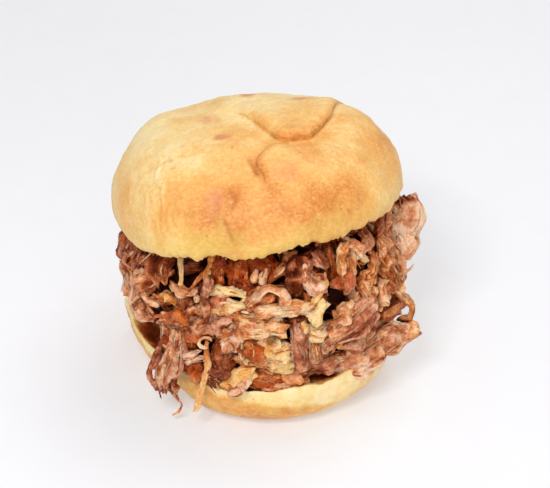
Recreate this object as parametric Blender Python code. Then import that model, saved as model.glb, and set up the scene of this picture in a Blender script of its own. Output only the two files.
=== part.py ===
"""Pulled pork sandwich: three closed solids in metres, +Z up, on the heel's flat underside at the origin."""

import math

import bmesh
import bpy
import numpy as np
from mathutils import Euler, Vector, noise

MM = 0.001
OBJECT_NAME = "pulled_pork_sandwich"
CLEARANCE = 0.45  # gap left between the pork and each half of the bun, mm

# The crown: a risen dome, boxier than a ball, that leans back and a little to the left
CROWN_CENTRE = (-2.6, 3.0, 78.0)
CROWN_HALF_WIDTH = 55.8
CROWN_HALF_DEPTH = 54.0
CROWN_RISE = 30.0  # widest ring to the top
CROWN_DROP = 26.0  # widest ring to where the dome would close below, had it not been sliced
CROWN_SHOULDER = 0.70  # 1 is an ellipsoid, less is boxier
CROWN_LEAN = (8.0, 4.0)  # degrees: front lifted, right side lifted
SLICE_HEIGHT = 69.6  # where the sliced face of the crown crosses the upright axis
SLICE_SLOPE = (0.155, -0.30)  # rise of that face per mm along X and along Y
SLICE_LIP = 1.6  # rounding where the crust turns into the sliced face
DOUGH_FOLDS = (  # each fold of the roll: (depth, half width, points across the top in mm, over the dome's own axes)
    (2.6, 3.4, ((-10, 9), (1, -3), (7, -13), (13, -20), (21, -17), (27, -7), (31, 8), (36, 22))),
    (2.0, 2.8, ((13, -20), (7, -24), (2, -31), (4, -37), (5, -41))),
)
DOUGH_SWELLS = (  # (rise, across, back, spread): the lobes between the folds
    (1.8, -32, 22, 17),
    (1.2, 10, 12, 14),
    (1.3, 34, 10, 12),
    (1.0, 22, -34, 16),
    (0.8, -26, -26, 15),
    (-1.0, -12, 30, 13),
)

# The heel: the sliced base of the roll, thicker on the right, its left rim lifted off the table
HEEL_CENTRE = (-1.0, 1.5)
HEEL_RADIUS = 54.0
HEEL_FOOT = 44.5  # radius of the flat underside
HEEL_LEFT = 10.5  # thickness at the left rim
HEEL_RIGHT = 20.0  # thickness at the right rim
HEEL_DISH = 2.2  # sag of the sliced face under the filling
RIM_LIFT = 8.5
RIM_LIFT_FROM = 20.0  # the underside leaves the table this far left of the middle
HEEL_SQUEEZE = ((0.10, 222.0, 20.0), (0.03, 262.0, 30.0))  # (share of the radius, direction, spread), degrees

# The heap of pork, out to its uneven outline
HEAP_CENTRE = (0.5, 1.0, 45.0)
HEAP_RADIUS = 46.5
HEAP_HALF_HEIGHT = 42.0
HEAP_BULGES = (  # (outward mm, direction, height, spread in degrees, spread in height)
    (8.5, 180.0, 50.0, 24.0, 16.0),
    (4.0, 205.0, 38.0, 16.0, 12.0),
    (6.0, 226.0, 33.0, 13.0, 8.0),
    (3.0, 262.0, 44.0, 26.0, 12.0),
    (5.5, 318.0, 60.0, 22.0, 14.0),
    (6.5, 342.0, 26.0, 16.0, 8.0),
    (6.0, 350.0, 48.0, 14.0, 14.0),
    (5.0, 60.0, 40.0, 22.0, 12.0),
    (4.5, 118.0, 34.0, 22.0, 12.0),
    (-4.5, 248.0, 72.0, 26.0, 9.0),
    (-4.0, 222.0, 20.0, 16.0, 7.0),
    (-3.5, 285.0, 24.0, 22.0, 9.0),
)
HEAP_LUMP = 3.4  # size of the random lumps, mm in or out
HEAP_LUMP_LENGTH = 13.0
# The pieces that stand clear of the heap, long way up before turning:
# (middle, half sizes, turn in degrees about X, Y, Z, share of the width left at the lower end)
STANDING_SLAB = ((54.0, 8.0, 56.5), (4.6, 8.5, 15.5), (-16.0, 18.0, 6.0), 0.75)
LOWER_FAN = ((45.5, -22.5, 23.5), (8.5, 5.6, 20.0), (0.0, 84.0, 29.0), 0.6)
HANGING_CLUMP = ((-42.0, -40.0, 19.0), (7.8, 6.8, 16.5), (-12.0, 10.0, 40.0), 0.25)


def leaning_axes(slope_x, slope_y):
    """Three unit vectors of a plane that rises by these slopes: across, back and out of it."""
    out = Vector((-slope_x, -slope_y, 1)).normalized()
    across = (Vector((1, 0, 0)) - out * out.x).normalized()
    return across, out.cross(across), out


def line_distance(u, v, points):
    """Distance in mm from (u, v) to a broken line."""
    here = np.array((u, v), float)
    nearest = 1e9
    for start, end in zip(points, points[1:]):
        a, b = np.array(start, float), np.array(end, float)
        along = np.clip((here - a) @ (b - a) / ((b - a) @ (b - a)), 0, 1)
        nearest = min(nearest, float(np.linalg.norm(here - a - along * (b - a))))
    return nearest


def dough_relief(u, v):
    """Height of the folded dough over the plain dome, mm."""
    height = 0.0
    for depth, half_width, points in DOUGH_FOLDS:
        height -= depth * math.exp(-((line_distance(u, v, points) / half_width) ** 2))
    for rise, across, back, spread in DOUGH_SWELLS:
        height += rise * math.exp(-((u - across) ** 2 + (v - back) ** 2) / spread**2)
    return height


CROWN_AXES = leaning_axes(math.tan(math.radians(CROWN_LEAN[1])), -math.tan(math.radians(CROWN_LEAN[0])))
SLICE_OUT = leaning_axes(*SLICE_SLOPE)[2]
SLICE_POINT = Vector((0, 0, SLICE_HEIGHT))


def dome_point(turn, rise, pad):
    """A point of the whole dome: turn about its axis, rise from its widest ring, both in radians."""
    across, back, out = CROWN_AXES
    reach = max(math.cos(rise), 0.0) ** CROWN_SHOULDER
    u = (CROWN_HALF_WIDTH + pad) * reach * math.cos(turn)
    v = (CROWN_HALF_DEPTH + pad) * reach * math.sin(turn)
    w = (CROWN_RISE if rise > 0 else CROWN_DROP) * math.sin(rise)
    upward = max(math.sin(rise), 0.0)
    relief = dough_relief(u, v) * min(1.0, 3 * upward)
    normal = (across * math.cos(turn) + back * math.sin(turn)) * math.cos(rise) + out * math.sin(rise)
    return Vector(CROWN_CENTRE) + across * u + back * v + out * w + normal * (relief + pad * upward)


def slice_rise(turn, pad):
    """Where the slice crosses the dome in this direction."""
    low, high = -1.3, 0.9
    for _ in range(30):
        middle = (low + high) / 2
        if (dome_point(turn, middle, pad) - SLICE_POINT).dot(SLICE_OUT) > -pad:
            high = middle
        else:
            low = middle
    return high


def crown_point(turn, polar, cuts, pad=0.0):
    """polar runs from 0 at the top to 1 at the middle of the sliced face, and passes the edge at 0.75."""
    if turn not in cuts:
        cuts[turn] = slice_rise(turn, pad)
    edge = dome_point(turn, cuts[turn], pad)
    if polar <= 0.75:
        rise = math.pi / 2 + (cuts[turn] - math.pi / 2) * polar / 0.75
        point = dome_point(turn, rise, pad)
        inward = Vector((CROWN_CENTRE[0], CROWN_CENTRE[1], 0)) - Vector((point.x, point.y, 0))
        above = (point - edge).dot(SLICE_OUT)
        return point + inward.normalized() * SLICE_LIP * max(0.0, 1 - above / 4.0) ** 2
    middle = Vector((CROWN_CENTRE[0], CROWN_CENTRE[1], 0))
    middle.z = SLICE_HEIGHT + SLICE_SLOPE[0] * middle.x + SLICE_SLOPE[1] * middle.y - pad
    rim = edge + (middle - edge).normalized() * SLICE_LIP
    return rim.lerp(middle, (polar - 0.75) / 0.25)


def heel_radius(turn):
    degrees = math.degrees(turn) % 360
    share = 1.0
    for part, direction, spread in HEEL_SQUEEZE:
        away = (degrees - direction + 180) % 360 - 180
        share -= part * math.exp(-((away / spread) ** 2))
    return HEEL_RADIUS * share


def rim_lift(x):
    return RIM_LIFT * min(max((-x - RIM_LIFT_FROM) / (HEEL_RADIUS - RIM_LIFT_FROM), 0.0), 1.0) ** 1.5


def heel_point(turn, polar, pad=0.0):
    """polar runs over the sliced face (to 0.3), down the wall (to 0.7) and in across the underside."""
    full = heel_radius(turn)
    foot = HEEL_FOOT * full / HEEL_RADIUS
    if polar <= 0.3:
        radius, level = (full - 1.6) * polar / 0.3, 1.0
    elif polar < 0.7:
        down = (polar - 0.3) / 0.4
        level = 1 - down
        radius = full - 1.6 * (1 - down) ** 6 - (full - foot) * down**3.2
    else:
        radius, level = foot * (1 - polar) / 0.3, 0.0
    x = HEEL_CENTRE[0] + (radius + pad * min(1.0, radius / 10)) * math.cos(turn)
    y = HEEL_CENTRE[1] + (radius + pad * min(1.0, radius / 10)) * math.sin(turn)
    thick = HEEL_LEFT + (HEEL_RIGHT - HEEL_LEFT) * (x + HEEL_RADIUS) / (2 * HEEL_RADIUS)
    thick -= HEEL_DISH * (1 - (radius / full) ** 2)
    return Vector((x, y, rim_lift(x) + thick * level + pad * (2 * level - 1)))


def heap_point(turn, rise):
    """A point of the heap: lumpy all round, and past both slices above and below, where the bun cuts it."""
    z = HEAP_CENTRE[2] + HEAP_HALF_HEIGHT * math.sin(rise)
    degrees = math.degrees(turn) % 360
    radius = HEAP_RADIUS
    for outward, direction, height, spread, tall in HEAP_BULGES:
        away = (degrees - direction + 180) % 360 - 180
        radius += outward * math.exp(-((away / spread) ** 2) - ((z - height) / tall) ** 2)
    radius *= max(math.cos(rise), 0.0) ** 0.42
    spot = Vector((radius * math.cos(turn), radius * math.sin(turn), z)) / HEAP_LUMP_LENGTH
    radius += HEAP_LUMP * noise.noise(spot) * min(1.0, radius / 20)
    radius += 0.5 * HEAP_LUMP * noise.noise(spot * 2.1) * min(1.0, radius / 20)
    return Vector((HEAP_CENTRE[0] + radius * math.cos(turn), HEAP_CENTRE[1] + radius * math.sin(turn), z))


def piece_point(turn, rise, middle, half_sizes, turned, lower_width):
    """A boxy, lumpy piece of meat: a superellipsoid drawn in towards its lower end, turned and set in place."""
    reach = max(math.cos(rise), 0.0) ** 0.6
    square = [math.copysign(abs(value) ** 0.7, value) for value in (math.cos(turn), math.sin(turn), math.sin(rise))]
    reach *= 1 - (1 - lower_width) * (1 - square[2]) / 2
    point = Vector((reach * square[0] * half_sizes[0], reach * square[1] * half_sizes[1], square[2] * half_sizes[2]))
    lump = 1.0 + 0.25 * noise.noise(point / 5.0)
    point = Vector((point.x * lump, point.y * lump, point.z * (1 + 0.12 * noise.noise(point / 3.0))))
    point.rotate(Euler([math.radians(degrees) for degrees in turned]))
    return point + Vector(middle)


def shaped_ball(name, collection, segments, rings, shape):
    """A UV sphere with each vertex moved by shape(turn, polar), polar running 0 to 1 from its top to its bottom."""
    mesh = bpy.data.meshes.new(name)
    solid = bmesh.new()
    bmesh.ops.create_uvsphere(solid, u_segments=segments, v_segments=rings, radius=1.0)
    for vertex in solid.verts:
        ring = round(math.acos(max(-1.0, min(1.0, vertex.co.z))) / math.pi * rings)
        turn = round(math.atan2(vertex.co.y, vertex.co.x), 5) if 0 < ring < rings else 0.0
        vertex.co = shape(turn, ring / rings) * MM
    bmesh.ops.recalc_face_normals(solid, faces=solid.faces)
    solid.to_mesh(mesh)
    solid.free()
    ball = bpy.data.objects.new(name, mesh)
    collection.objects.link(ball)
    return ball


def rise_of(polar):
    return math.pi * (0.5 - polar)


def boolean(target, other, operation):
    modifier = target.modifiers.new(operation.lower() + "_" + other.name, "BOOLEAN")
    modifier.operation = operation
    modifier.solver = "EXACT"
    modifier.object = other


def surface(name, base_colour, roughness):
    material = bpy.data.materials.new(name)
    material.use_nodes = True
    shader = material.node_tree.nodes["Principled BSDF"]
    shader.inputs["Base Color"].default_value = base_colour
    shader.inputs["Roughness"].default_value = roughness
    return material


for leftover in list(bpy.data.objects):
    bpy.data.objects.remove(leftover, do_unlink=True)
sandwich = bpy.data.collections.new(OBJECT_NAME)
helpers = bpy.data.collections.new("cutters")
bpy.context.scene.collection.children.link(sandwich)
bpy.context.scene.collection.children.link(helpers)
helpers.hide_render = True

cuts, padded_cuts = {}, {}
bun_top = shaped_ball("bun_top", sandwich, 64, 28, lambda turn, polar: crown_point(turn, polar, cuts))
bun_bottom = shaped_ball("bun_bottom", sandwich, 60, 20, heel_point)
pork = shaped_ball("pulled_pork", sandwich, 64, 30, lambda turn, polar: heap_point(turn, rise_of(polar)))

crown_cutter = shaped_ball(
    "crown_cutter", helpers, 64, 28, lambda turn, polar: crown_point(turn, polar, padded_cuts, CLEARANCE)
)
heel_cutter = shaped_ball("heel_cutter", helpers, 60, 20, lambda turn, polar: heel_point(turn, polar, CLEARANCE))
pieces = {"slab": STANDING_SLAB, "fan": LOWER_FAN, "clump": HANGING_CLUMP}
for piece_name, piece in pieces.items():
    added = shaped_ball(
        piece_name, helpers, 22, 12, lambda turn, polar, piece=piece: piece_point(turn, rise_of(polar), *piece)
    )
    boolean(pork, added, "UNION")
boolean(pork, crown_cutter, "DIFFERENCE")
boolean(pork, heel_cutter, "DIFFERENCE")

for helper in helpers.objects:
    helper.hide_render = True
    helper.display_type = "WIRE"
for node, material in (
    (bun_top, surface("crown_crust", (0.87, 0.47, 0.16, 1.0), 0.55)),
    (bun_bottom, surface("heel_crust", (0.84, 0.55, 0.25, 1.0), 0.6)),
    (pork, surface("pork_meat", (0.36, 0.12, 0.05, 1.0), 0.45)),
):
    node.data.materials.append(material)
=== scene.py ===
import math
from functools import partial

import bpy
import numpy as np
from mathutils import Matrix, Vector
from mathutils.bvhtree import BVHTree


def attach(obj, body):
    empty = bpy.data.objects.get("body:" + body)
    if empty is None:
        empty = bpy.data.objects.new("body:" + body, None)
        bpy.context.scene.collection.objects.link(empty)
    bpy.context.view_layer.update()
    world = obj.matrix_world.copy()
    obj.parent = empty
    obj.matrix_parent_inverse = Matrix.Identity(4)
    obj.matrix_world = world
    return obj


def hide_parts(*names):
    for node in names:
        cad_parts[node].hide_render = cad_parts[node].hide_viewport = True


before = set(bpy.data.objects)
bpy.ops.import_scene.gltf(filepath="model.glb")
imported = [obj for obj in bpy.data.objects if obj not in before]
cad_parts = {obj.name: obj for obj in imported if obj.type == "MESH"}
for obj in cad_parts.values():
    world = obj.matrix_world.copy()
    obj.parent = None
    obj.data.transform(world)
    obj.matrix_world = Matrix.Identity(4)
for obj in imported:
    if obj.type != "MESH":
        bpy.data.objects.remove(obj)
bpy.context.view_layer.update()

mm = 0.001               # everything below is worked out in millimetres and scaled once


# small helpers

def linearColour(hexColour):
    parts = [int(hexColour[i:i + 2], 16) / 255 for i in (1, 3, 5)]
    return [c / 12.92 if c <= 0.04045 else ((c + 0.055) / 1.055) ** 2.4 for c in parts] + [1.0]


def hashed(cells, seed):
    mixed = (cells @ np.array([374761393, 668265263, 2147483647]) + seed * 1274126177) & 0xFFFFFFFF
    mixed = (mixed ^ (mixed >> 13)) * 1274126177 & 0xFFFFFFFF
    return mixed ^ (mixed >> 16)


corners = np.array(list(np.ndindex(2, 2, 2)))
neighbours = np.array(list(np.ndindex(3, 3, 3))) - 1


def softNoise(points, size, seed=0):
    # smooth noise from about -1 to 1, one value for each point; size is the width of a lump in mm
    scaled = np.asarray(points, float) / size
    cell = np.floor(scaled).astype(np.int64)
    part = scaled - cell
    part = part * part * part * (part * (part * 6 - 15) + 10)
    values = (hashed(cell[..., None, :] + corners, seed) & 0xFFFF) / 32767.5 - 1
    weights = np.where(corners == 1, part[..., None, :], 1 - part[..., None, :]).prod(-1)
    return (weights * values).sum(-1) * 1.6


def grainNoise(points, size, seed=0):
    # rounded grains packed side by side: 1 in the middle of a grain, 0 between them
    scaled = np.asarray(points, float) / size
    cell = np.floor(scaled).astype(np.int64)
    spots = cell[..., None, :] + neighbours
    mixed = hashed(spots, seed)
    offset = np.stack([mixed & 255, mixed >> 8 & 255, mixed >> 16 & 255], -1) / 255
    return np.clip(1 - ((spots + offset - scaled[..., None, :]) ** 2).sum(-1).min(-1), 0, 1)


def layeredNoise(points, *layers):
    # soft noise of several sizes added up; each layer is its height, its size and its seed
    return sum(height * softNoise(points, size, seed) for height, size, seed in layers)


def bell(distance, width):
    return np.exp(-(distance / width) ** 2)


def circleOf(turn):
    return np.stack([np.cos(turn), np.sin(turn), turn * 0], -1)


def turnApart(degreesA, degreesB):
    return (degreesA - degreesB + 180) % 360 - 180


def unit(vectors):
    return vectors / np.maximum(np.linalg.norm(vectors, axis=-1, keepdims=True), 1e-9)


def ringFaces(rows, columns, start=0):
    # faces of a closed skin: a point, rows of rings, and a point
    faces = []
    last = start + 1 + rows * columns
    for c in range(columns):
        nextC = (c + 1) % columns
        faces.append((start, start + 1 + c, start + 1 + nextC))
        faces.append((last, last - columns + nextC, last - columns + c))
    ring = start + 1
    for r in range(rows - 1):
        for c in range(columns):
            nextC = (c + 1) % columns
            faces.append((ring + c, ring + columns + c, ring + columns + nextC, ring + nextC))
        ring += columns
    return faces


def buildMesh(name, points, faces, materials, numbers=None, vectors=None, faceSlots=None):
    mesh = bpy.data.meshes.new(name)
    mesh.from_pydata((np.asarray(points) * mm).tolist(), [], faces)
    for key, values in (numbers or {}).items():
        mesh.attributes.new(key, "FLOAT", "POINT").data.foreach_set("value", np.asarray(values, np.float32))
    for key, values in (vectors or {}).items():
        flat = np.asarray(values, np.float32).ravel()
        mesh.attributes.new(key, "FLOAT_VECTOR", "POINT").data.foreach_set("vector", flat)
    for material in materials:
        mesh.materials.append(material)
    if faceSlots is not None:
        mesh.polygons.foreach_set("material_index", faceSlots)
    mesh.polygons.foreach_set("use_smooth", [True] * len(mesh.polygons))
    mesh.update()
    piece = bpy.data.objects.new(name, mesh)
    bpy.context.scene.collection.objects.link(piece)
    return piece


def newMaterial(name):
    material = bpy.data.materials.new(name)
    material.use_nodes = True
    tree = material.node_tree
    return material, tree, tree.nodes["Principled BSDF"]


def setInputs(tree, node, inputs):
    # each input gets a value, or a link from the socket that feeds it
    for key, value in inputs.items():
        if isinstance(value, bpy.types.NodeSocket):
            tree.links.new(value, node.inputs[key])
        else:
            node.inputs[key].default_value = value


def addNode(tree, kind, *inputs, output=0, stops=(), **settings):
    # adds one shader node and gives back an output; inputs come in the order that the node shows them
    node = tree.nodes.new("ShaderNode" + kind)
    for key, value in settings.items():
        setattr(node, key, value)
    shown = [i for i, socket in enumerate(node.inputs) if socket.enabled]
    setInputs(tree, node, {i: value for i, value in zip(shown, inputs) if value is not None})
    for i, (place, hexColour) in enumerate(stops):
        points = node.color_ramp.elements
        point = points[i] if i < 2 else points.new(place)
        point.position = place
        point.color = linearColour(hexColour)
    if isinstance(output, str):
        return node.outputs[output]
    return [socket for socket in node.outputs if socket.enabled][output]


def perMm(size):
    # the scale that makes a pattern's features this many mm across
    return 1 / (size * mm)


# the crown of the roll; lengths in mm, directions and angles in degrees

crown = {
    "centre": (-2.6, 3.0, 78.0), "halfWidth": 55.8, "halfDepth": 54.0,
    "rise": 30.0, "drop": 26.0, "shoulder": 0.70,   # a shoulder below 1 is boxier than a ball
    "lean": (8.0, 4.0),                             # front up, right side up
    "sliceHeight": 69.6, "sliceSlope": (0.155, -0.30),
    "columns": 570, "rows": 136, "underRows": 10, "lip": 1.7,
    # broad swells of the risen dough: rise, across, back, spread
    "swells": ((3.4, -36, 19, 11), (-2.0, -25, 18, 9), (0.6, -8, 20, 11), (1.2, 10, 12, 14), (2.6, 40, 6, 13),
               (1.0, 22, -34, 16), (0.8, -26, -26, 15)),
    # where one lobe of dough rolls over the next: step, roundness, dip, reach, line across the top
    "folds": (
        (2.7, 3.4, 0.6, 13, ((36, 24), (33, 18.4), (30, 7), (29, -1.5), (25.5, -10), (21.6, -17.3),
                             (17.3, -18.4), (13.2, -19.9), (9.8, -18.2), (6.7, -13.6), (3.7, -8.5),
                             (0.7, -2.7), (-3.9, 3.2), (-8.6, 7.7))),
        (1.9, 2.4, 0.9, 11, ((4.8, -41), (4.2, -37), (2.5, -34.6), (1.8, -32), (2.2, -30.6), (4.4, -27.5),
                             (7, -24.4), (12.9, -20.2))),
    ),
    # fine cracks and dents in the crust: depth, width, points in the dome's own axes
    "cracks": (
        (0.35, 0.6, ((-27.7, -22.3, 25.7), (-26.2, -22.0, 26.3), (-23.9, -23.6, 26.4))),
        (0.30, 0.6, ((-29.1, -26.9, 23.7), (-27.6, -28.0, 23.9))),
        (0.30, 0.6, ((-36.9, 5.9, 25.1), (-34.9, 6.1, 25.9))),
        (0.9, 0.9, ((-1, -29, 28), (1, -34, 26), (2.5, -38, 24))),
        (0.8, 0.7, ((-11, -49, 13), (-9, -51, 9), (-7.5, -53, 4))),
        (0.5, 0.9, ((-8, -42, 21), (-6, -45, 18), (-8, -48, 15))),
        (0.5, 0.8, ((-34, -24, 23), (-31, -22, 25), (-28, -24, 24))),
    ),
    # thin ridges of skin that run down the left side: height, width, points in the dome's own axes
    "ridges": (
        (0.40, 0.8, ((-38.8, -30.0, 16.2), (-38.0, -35.0, 12.1), (-37.1, -38.8, 7.1))),
        (0.55, 0.9, ((-34.2, -14.0, 25.3), (-33.1, -29.7, 20.5), (-32.6, -35.5, 16.8), (-31.6, -42.6, 8.6))),
        (0.50, 0.8, ((-34.7, -38.6, 11.3), (-34.5, -41.6, 5.4), (-33.5, -43.1, 0.1))),
        (0.36, 0.8, ((-45.5, -23.0, 14.0), (-45.4, -27.5, 10.0), (-44.8, -31.4, 5.0))),
        (0.36, 0.8, ((-30.1, -40.6, 13.6), (-29.0, -44.5, 8.2), (-26.4, -47.3, 3.4))),
    ),
    # pinkish scorches: strength, across, back, spread
    "scorches": ((0.8, -1.6, 20.0, 3.0), (0.8, 18.5, 13.2, 3.6), (0.5, -16.2, 2.0, 3.2),
                 (0.8, -10.7, -14.9, 2.6), (0.50, -13.3, -43.8, 3.0), (0.3, 12.0, -37.0, 3.4)),
    # drips and notches of the torn lower edge: down mm, direction, spread
    "edge": ((1.6, 268, 6), (-1.5, 255, 4), (-1.9, 287, 6), (-1.2, 236, 9), (1.0, 300, 7), (-0.8, 318, 5)),
    # how the skin browned: amount, direction, height angle, spread
    "toasted": ((0.27, 258, 28, 24), (0.22, 298, 24, 24), (0.12, 320, 45, 24), (-0.26, 205, 52, 26),
                (-0.06, 190, 12, 16), (-0.20, 60, 60, 40), (-0.14, 120, 60, 34), (0.06, 240, 26, 14),
                (-0.10, 226, 8, 10), (0.20, 345, 30, 22), (-0.06, 330, 62, 16)),
}


def leaningAxes(slopeX, slopeY):
    out = Vector((-slopeX, -slopeY, 1)).normalized()
    across = (Vector((1, 0, 0)) - out * out.x).normalized()
    return np.array([across, out.cross(across), out])


frontUp, rightUp = [math.tan(math.radians(degrees)) for degrees in crown["lean"]]
crownAxes = leaningAxes(rightUp, -frontUp)
sliceOut = leaningAxes(*crown["sliceSlope"])[2]
slicePoint = np.array([0, 0, crown["sliceHeight"]])


def lineDistance(places, line):
    # the way from a bent line to each place, which side of it (1 is left) and how far along it, 0 to 1
    line = np.array(line, float)
    lengths = np.linalg.norm(np.diff(line, axis=0), axis=1)
    covered = np.concatenate([[0], np.cumsum(lengths)]) / lengths.sum()
    best = np.full(len(places), 1e9)
    away = np.zeros(places.shape)
    side = np.ones(len(places))
    along = np.zeros(len(places))
    for i in range(len(line) - 1):
        step = line[i + 1] - line[i]
        offset = places - line[i]
        share = np.clip(offset @ step / (step @ step), 0, 1)
        fromLine = offset - share[:, None] * step
        distance = np.linalg.norm(fromLine, axis=1)
        nearer = distance < best
        best = np.where(nearer, distance, best)
        away = np.where(nearer[:, None], fromLine, away)
        along = np.where(nearer, covered[i] + share * (covered[i + 1] - covered[i]), along)
        if line.shape[1] == 2:
            cross = step[0] * offset[:, 1] - step[1] * offset[:, 0]
            side = np.where(nearer, np.sign(cross) + (cross == 0), side)
    return away, side, along


flatten = np.array([[1, 0, 0], [0, 1, 0]])        # turns flat places into points for the noise


def foldRelief(places):
    # height of the rolled dough, its painted shade, how near a fold's foot it is (for a line of painted
    # shade), and the shift at its edge
    height, shade, foot = np.zeros((3, len(places)))
    shift = np.zeros((len(places), 2))
    for step, roundness, dip, reach, line in crown["folds"]:
        away, side, along = lineDistance(places, line)
        distance = np.linalg.norm(away, axis=1)
        strength = np.clip(along / 0.20, 0, 1) * np.clip((1 - along) / 0.20, 0, 1) ** 0.7
        over = side < 0
        snapped = np.where(distance < 0.32, 0, distance)
        roll = np.sqrt(1 - np.clip(1 - snapped / roundness, 0, 1) ** 2)
        upper = (step + dip) * roll * bell(distance, reach) - dip * np.exp(-distance / 1.5)
        lower = -dip * np.exp(-snapped / 1.1) - 0.35 * step * bell(distance, 5) * (1 - bell(distance, 1.5))
        height += strength * np.where(over, upper, lower)
        # painted shade: the wall of the lobe that rolls over, and the crease, are marked to be drawn darker
        shade += strength * np.where(over, bell(distance - 0.6, 1.8), 0.7 * bell(distance, 0.8))
        uneven = np.clip(1.4 - 0.55 * step + 0.5 * softNoise(places @ flatten, 4, 16), 0, 1)
        foot += strength * bell(distance, 0.55) * uneven
        towards = -away / np.maximum(distance, 1e-6)[:, None]
        lean = np.where(over & (distance < 3), 0.9 * (1 - distance / 3), 0) * (distance >= 0.32)
        shift += (strength * lean)[:, None] * towards
        shift -= (strength > 0.05)[:, None] * (distance < 0.32)[:, None] * away
    for rise, across, back, spread in crown["swells"]:
        height += rise * bell(np.hypot(places[:, 0] - across, places[:, 1] - back), spread)
    return height, shade, foot, shift


def domePoints(turn, rise):
    reach = np.maximum(np.cos(rise), 0) ** crown["shoulder"]
    across = crown["halfWidth"] * reach * np.cos(turn)
    back = crown["halfDepth"] * reach * np.sin(turn)
    out = np.where(rise > 0, crown["rise"], crown["drop"]) * np.sin(rise)
    return np.stack([across, back, out], -1)


def domeNormals(turn, rise):
    return unit(np.stack([np.cos(turn) * np.cos(rise), np.sin(turn) * np.cos(rise), np.sin(rise)], -1))


def toWorld(places):
    return places @ crownAxes + np.array(crown["centre"])


def crownSkin():
    columns, rows = crown["columns"], crown["rows"]
    turn = np.arange(columns) / columns * 2 * math.pi
    degrees = np.degrees(turn)
    edgeDrop = layeredNoise(circleOf(turn) * 55, (0.5, 9, 3), (0.70, 3.0, 4), (0.50, 1.3, 5))
    for down, direction, spread in crown["edge"]:
        edgeDrop += down * bell(turnApart(degrees, direction), spread)
    lowest = -1.3                                   # radians below the dome's equator
    low, high = np.full(columns, lowest), np.full(columns, 0.9)
    for _ in range(40):
        middle = (low + high) / 2
        above = (toWorld(domePoints(turn, middle)) - slicePoint) @ sliceOut > -edgeDrop
        high, low = np.where(above, middle, high), np.where(above, low, middle)
    # even steps along the skin from the top down to the slice
    table = np.linspace(math.pi / 2, lowest, 3000)
    profile = domePoints(table * 0, table)
    covered = np.concatenate([[0], np.cumsum(np.linalg.norm(np.diff(profile, axis=0), axis=1))])
    full = np.interp(-high, -table, covered)
    steps = (np.arange(rows) + 1) / rows
    rise = np.interp(steps[:, None] * full[None, :], covered, table)
    turns = np.broadcast_to(turn, rise.shape)
    places = domePoints(turns, rise).reshape(-1, 3)
    normals = domeNormals(turns, rise).reshape(-1, 3)
    height, shade, foot, shift = foldRelief(places[:, :2])
    upward = np.clip(3 * np.sin(rise.ravel()), 0, 1)
    height *= upward
    for depth, width, line in crown["cracks"]:
        away, _, along = lineDistance(places, line)
        groove = bell(np.linalg.norm(away, axis=1), width) * np.clip(4 * along * (1 - along) * 2, 0.3, 1)
        height -= depth * groove
        # painted shade down in each crack, and a dark line of painted shade along it
        shade += 0.8 * groove
        foot += 0.5 * groove * depth
    # the ridges wander, and fade in and out
    wavy = places + [1, 0, 0] * layeredNoise(places, (1.5, 7, 18), (0.6, 2.5, 19))[:, None]
    for tall, width, line in crown["ridges"]:
        away, _, along = lineDistance(wavy, line)
        distance = np.linalg.norm(away, axis=1)
        there = np.clip(6 * along * (1 - along), 0, 1) * np.clip(0.85 + 0.9 * softNoise(places, 5, 20), 0, 1)
        ridge = bell(distance, width) * there
        height += tall * ridge
        # a painted highlight along each ridge, and painted shade just beside it
        shade -= 0.5 * ridge - 0.7 * bell(distance - 1.8 * width, 0.6 * width) * there
    places[:, :2] += shift * upward[:, None]
    height += layeredNoise(places, (0.45, 17, 11), (0.20, 6, 12), (0.10, 2.4, 13), (0.05, 1.3, 17))
    # faint creases that run down the sides, and the tight skin between them
    stretched = np.stack([turns.ravel() * 50, rise.ravel() * 9, turns.ravel() * 0], -1)
    downward = np.clip(1 - np.sin(rise.ravel()) * 1.6, 0, 1)
    height -= 0.22 * np.clip(softNoise(stretched, 3.4, 14) - 0.25, 0, 1) * downward
    # the crust turns under just above the slice
    toEdge = (1 - steps)[:, None] * full[None, :]
    height -= (crown["lip"] * np.clip(1 - toEdge / 4.5, 0, 1) ** 2.2).ravel()
    points = toWorld(places + normals * height[:, None]).reshape(rows, columns, 3)
    # the sliced face, from the torn rim to the middle
    rim = points[-1]
    middle = rim.mean(axis=0)
    under = []
    for i in range(1, crown["underRows"] + 1):
        share = (i / (crown["underRows"] + 1)) ** 1.7
        ring = rim + (middle - rim) * share
        ring = ring - (ring - slicePoint) @ sliceOut[:, None] * sliceOut * min(1.0, share * 6)
        ring = ring + sliceOut * layeredNoise(ring, (0.5, 3.0, 21), (0.3, 1.4, 22))[:, None]
        under.append(ring)
    allRows = np.concatenate([points, np.array(under)])
    peak = domePoints(np.zeros(1), np.array([math.pi / 2]))
    top = toWorld(peak + np.array([[0, 0, height[:columns].mean()]]))
    skin = np.concatenate([top, allRows.reshape(-1, 3), middle[None]])
    marks = {"shade": shade * upward, "line": foot * upward, "toEdge": toEdge.ravel()}
    return skin, allRows.shape[0], columns, rows, marks, places, rise.ravel(), turns.ravel()


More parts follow.
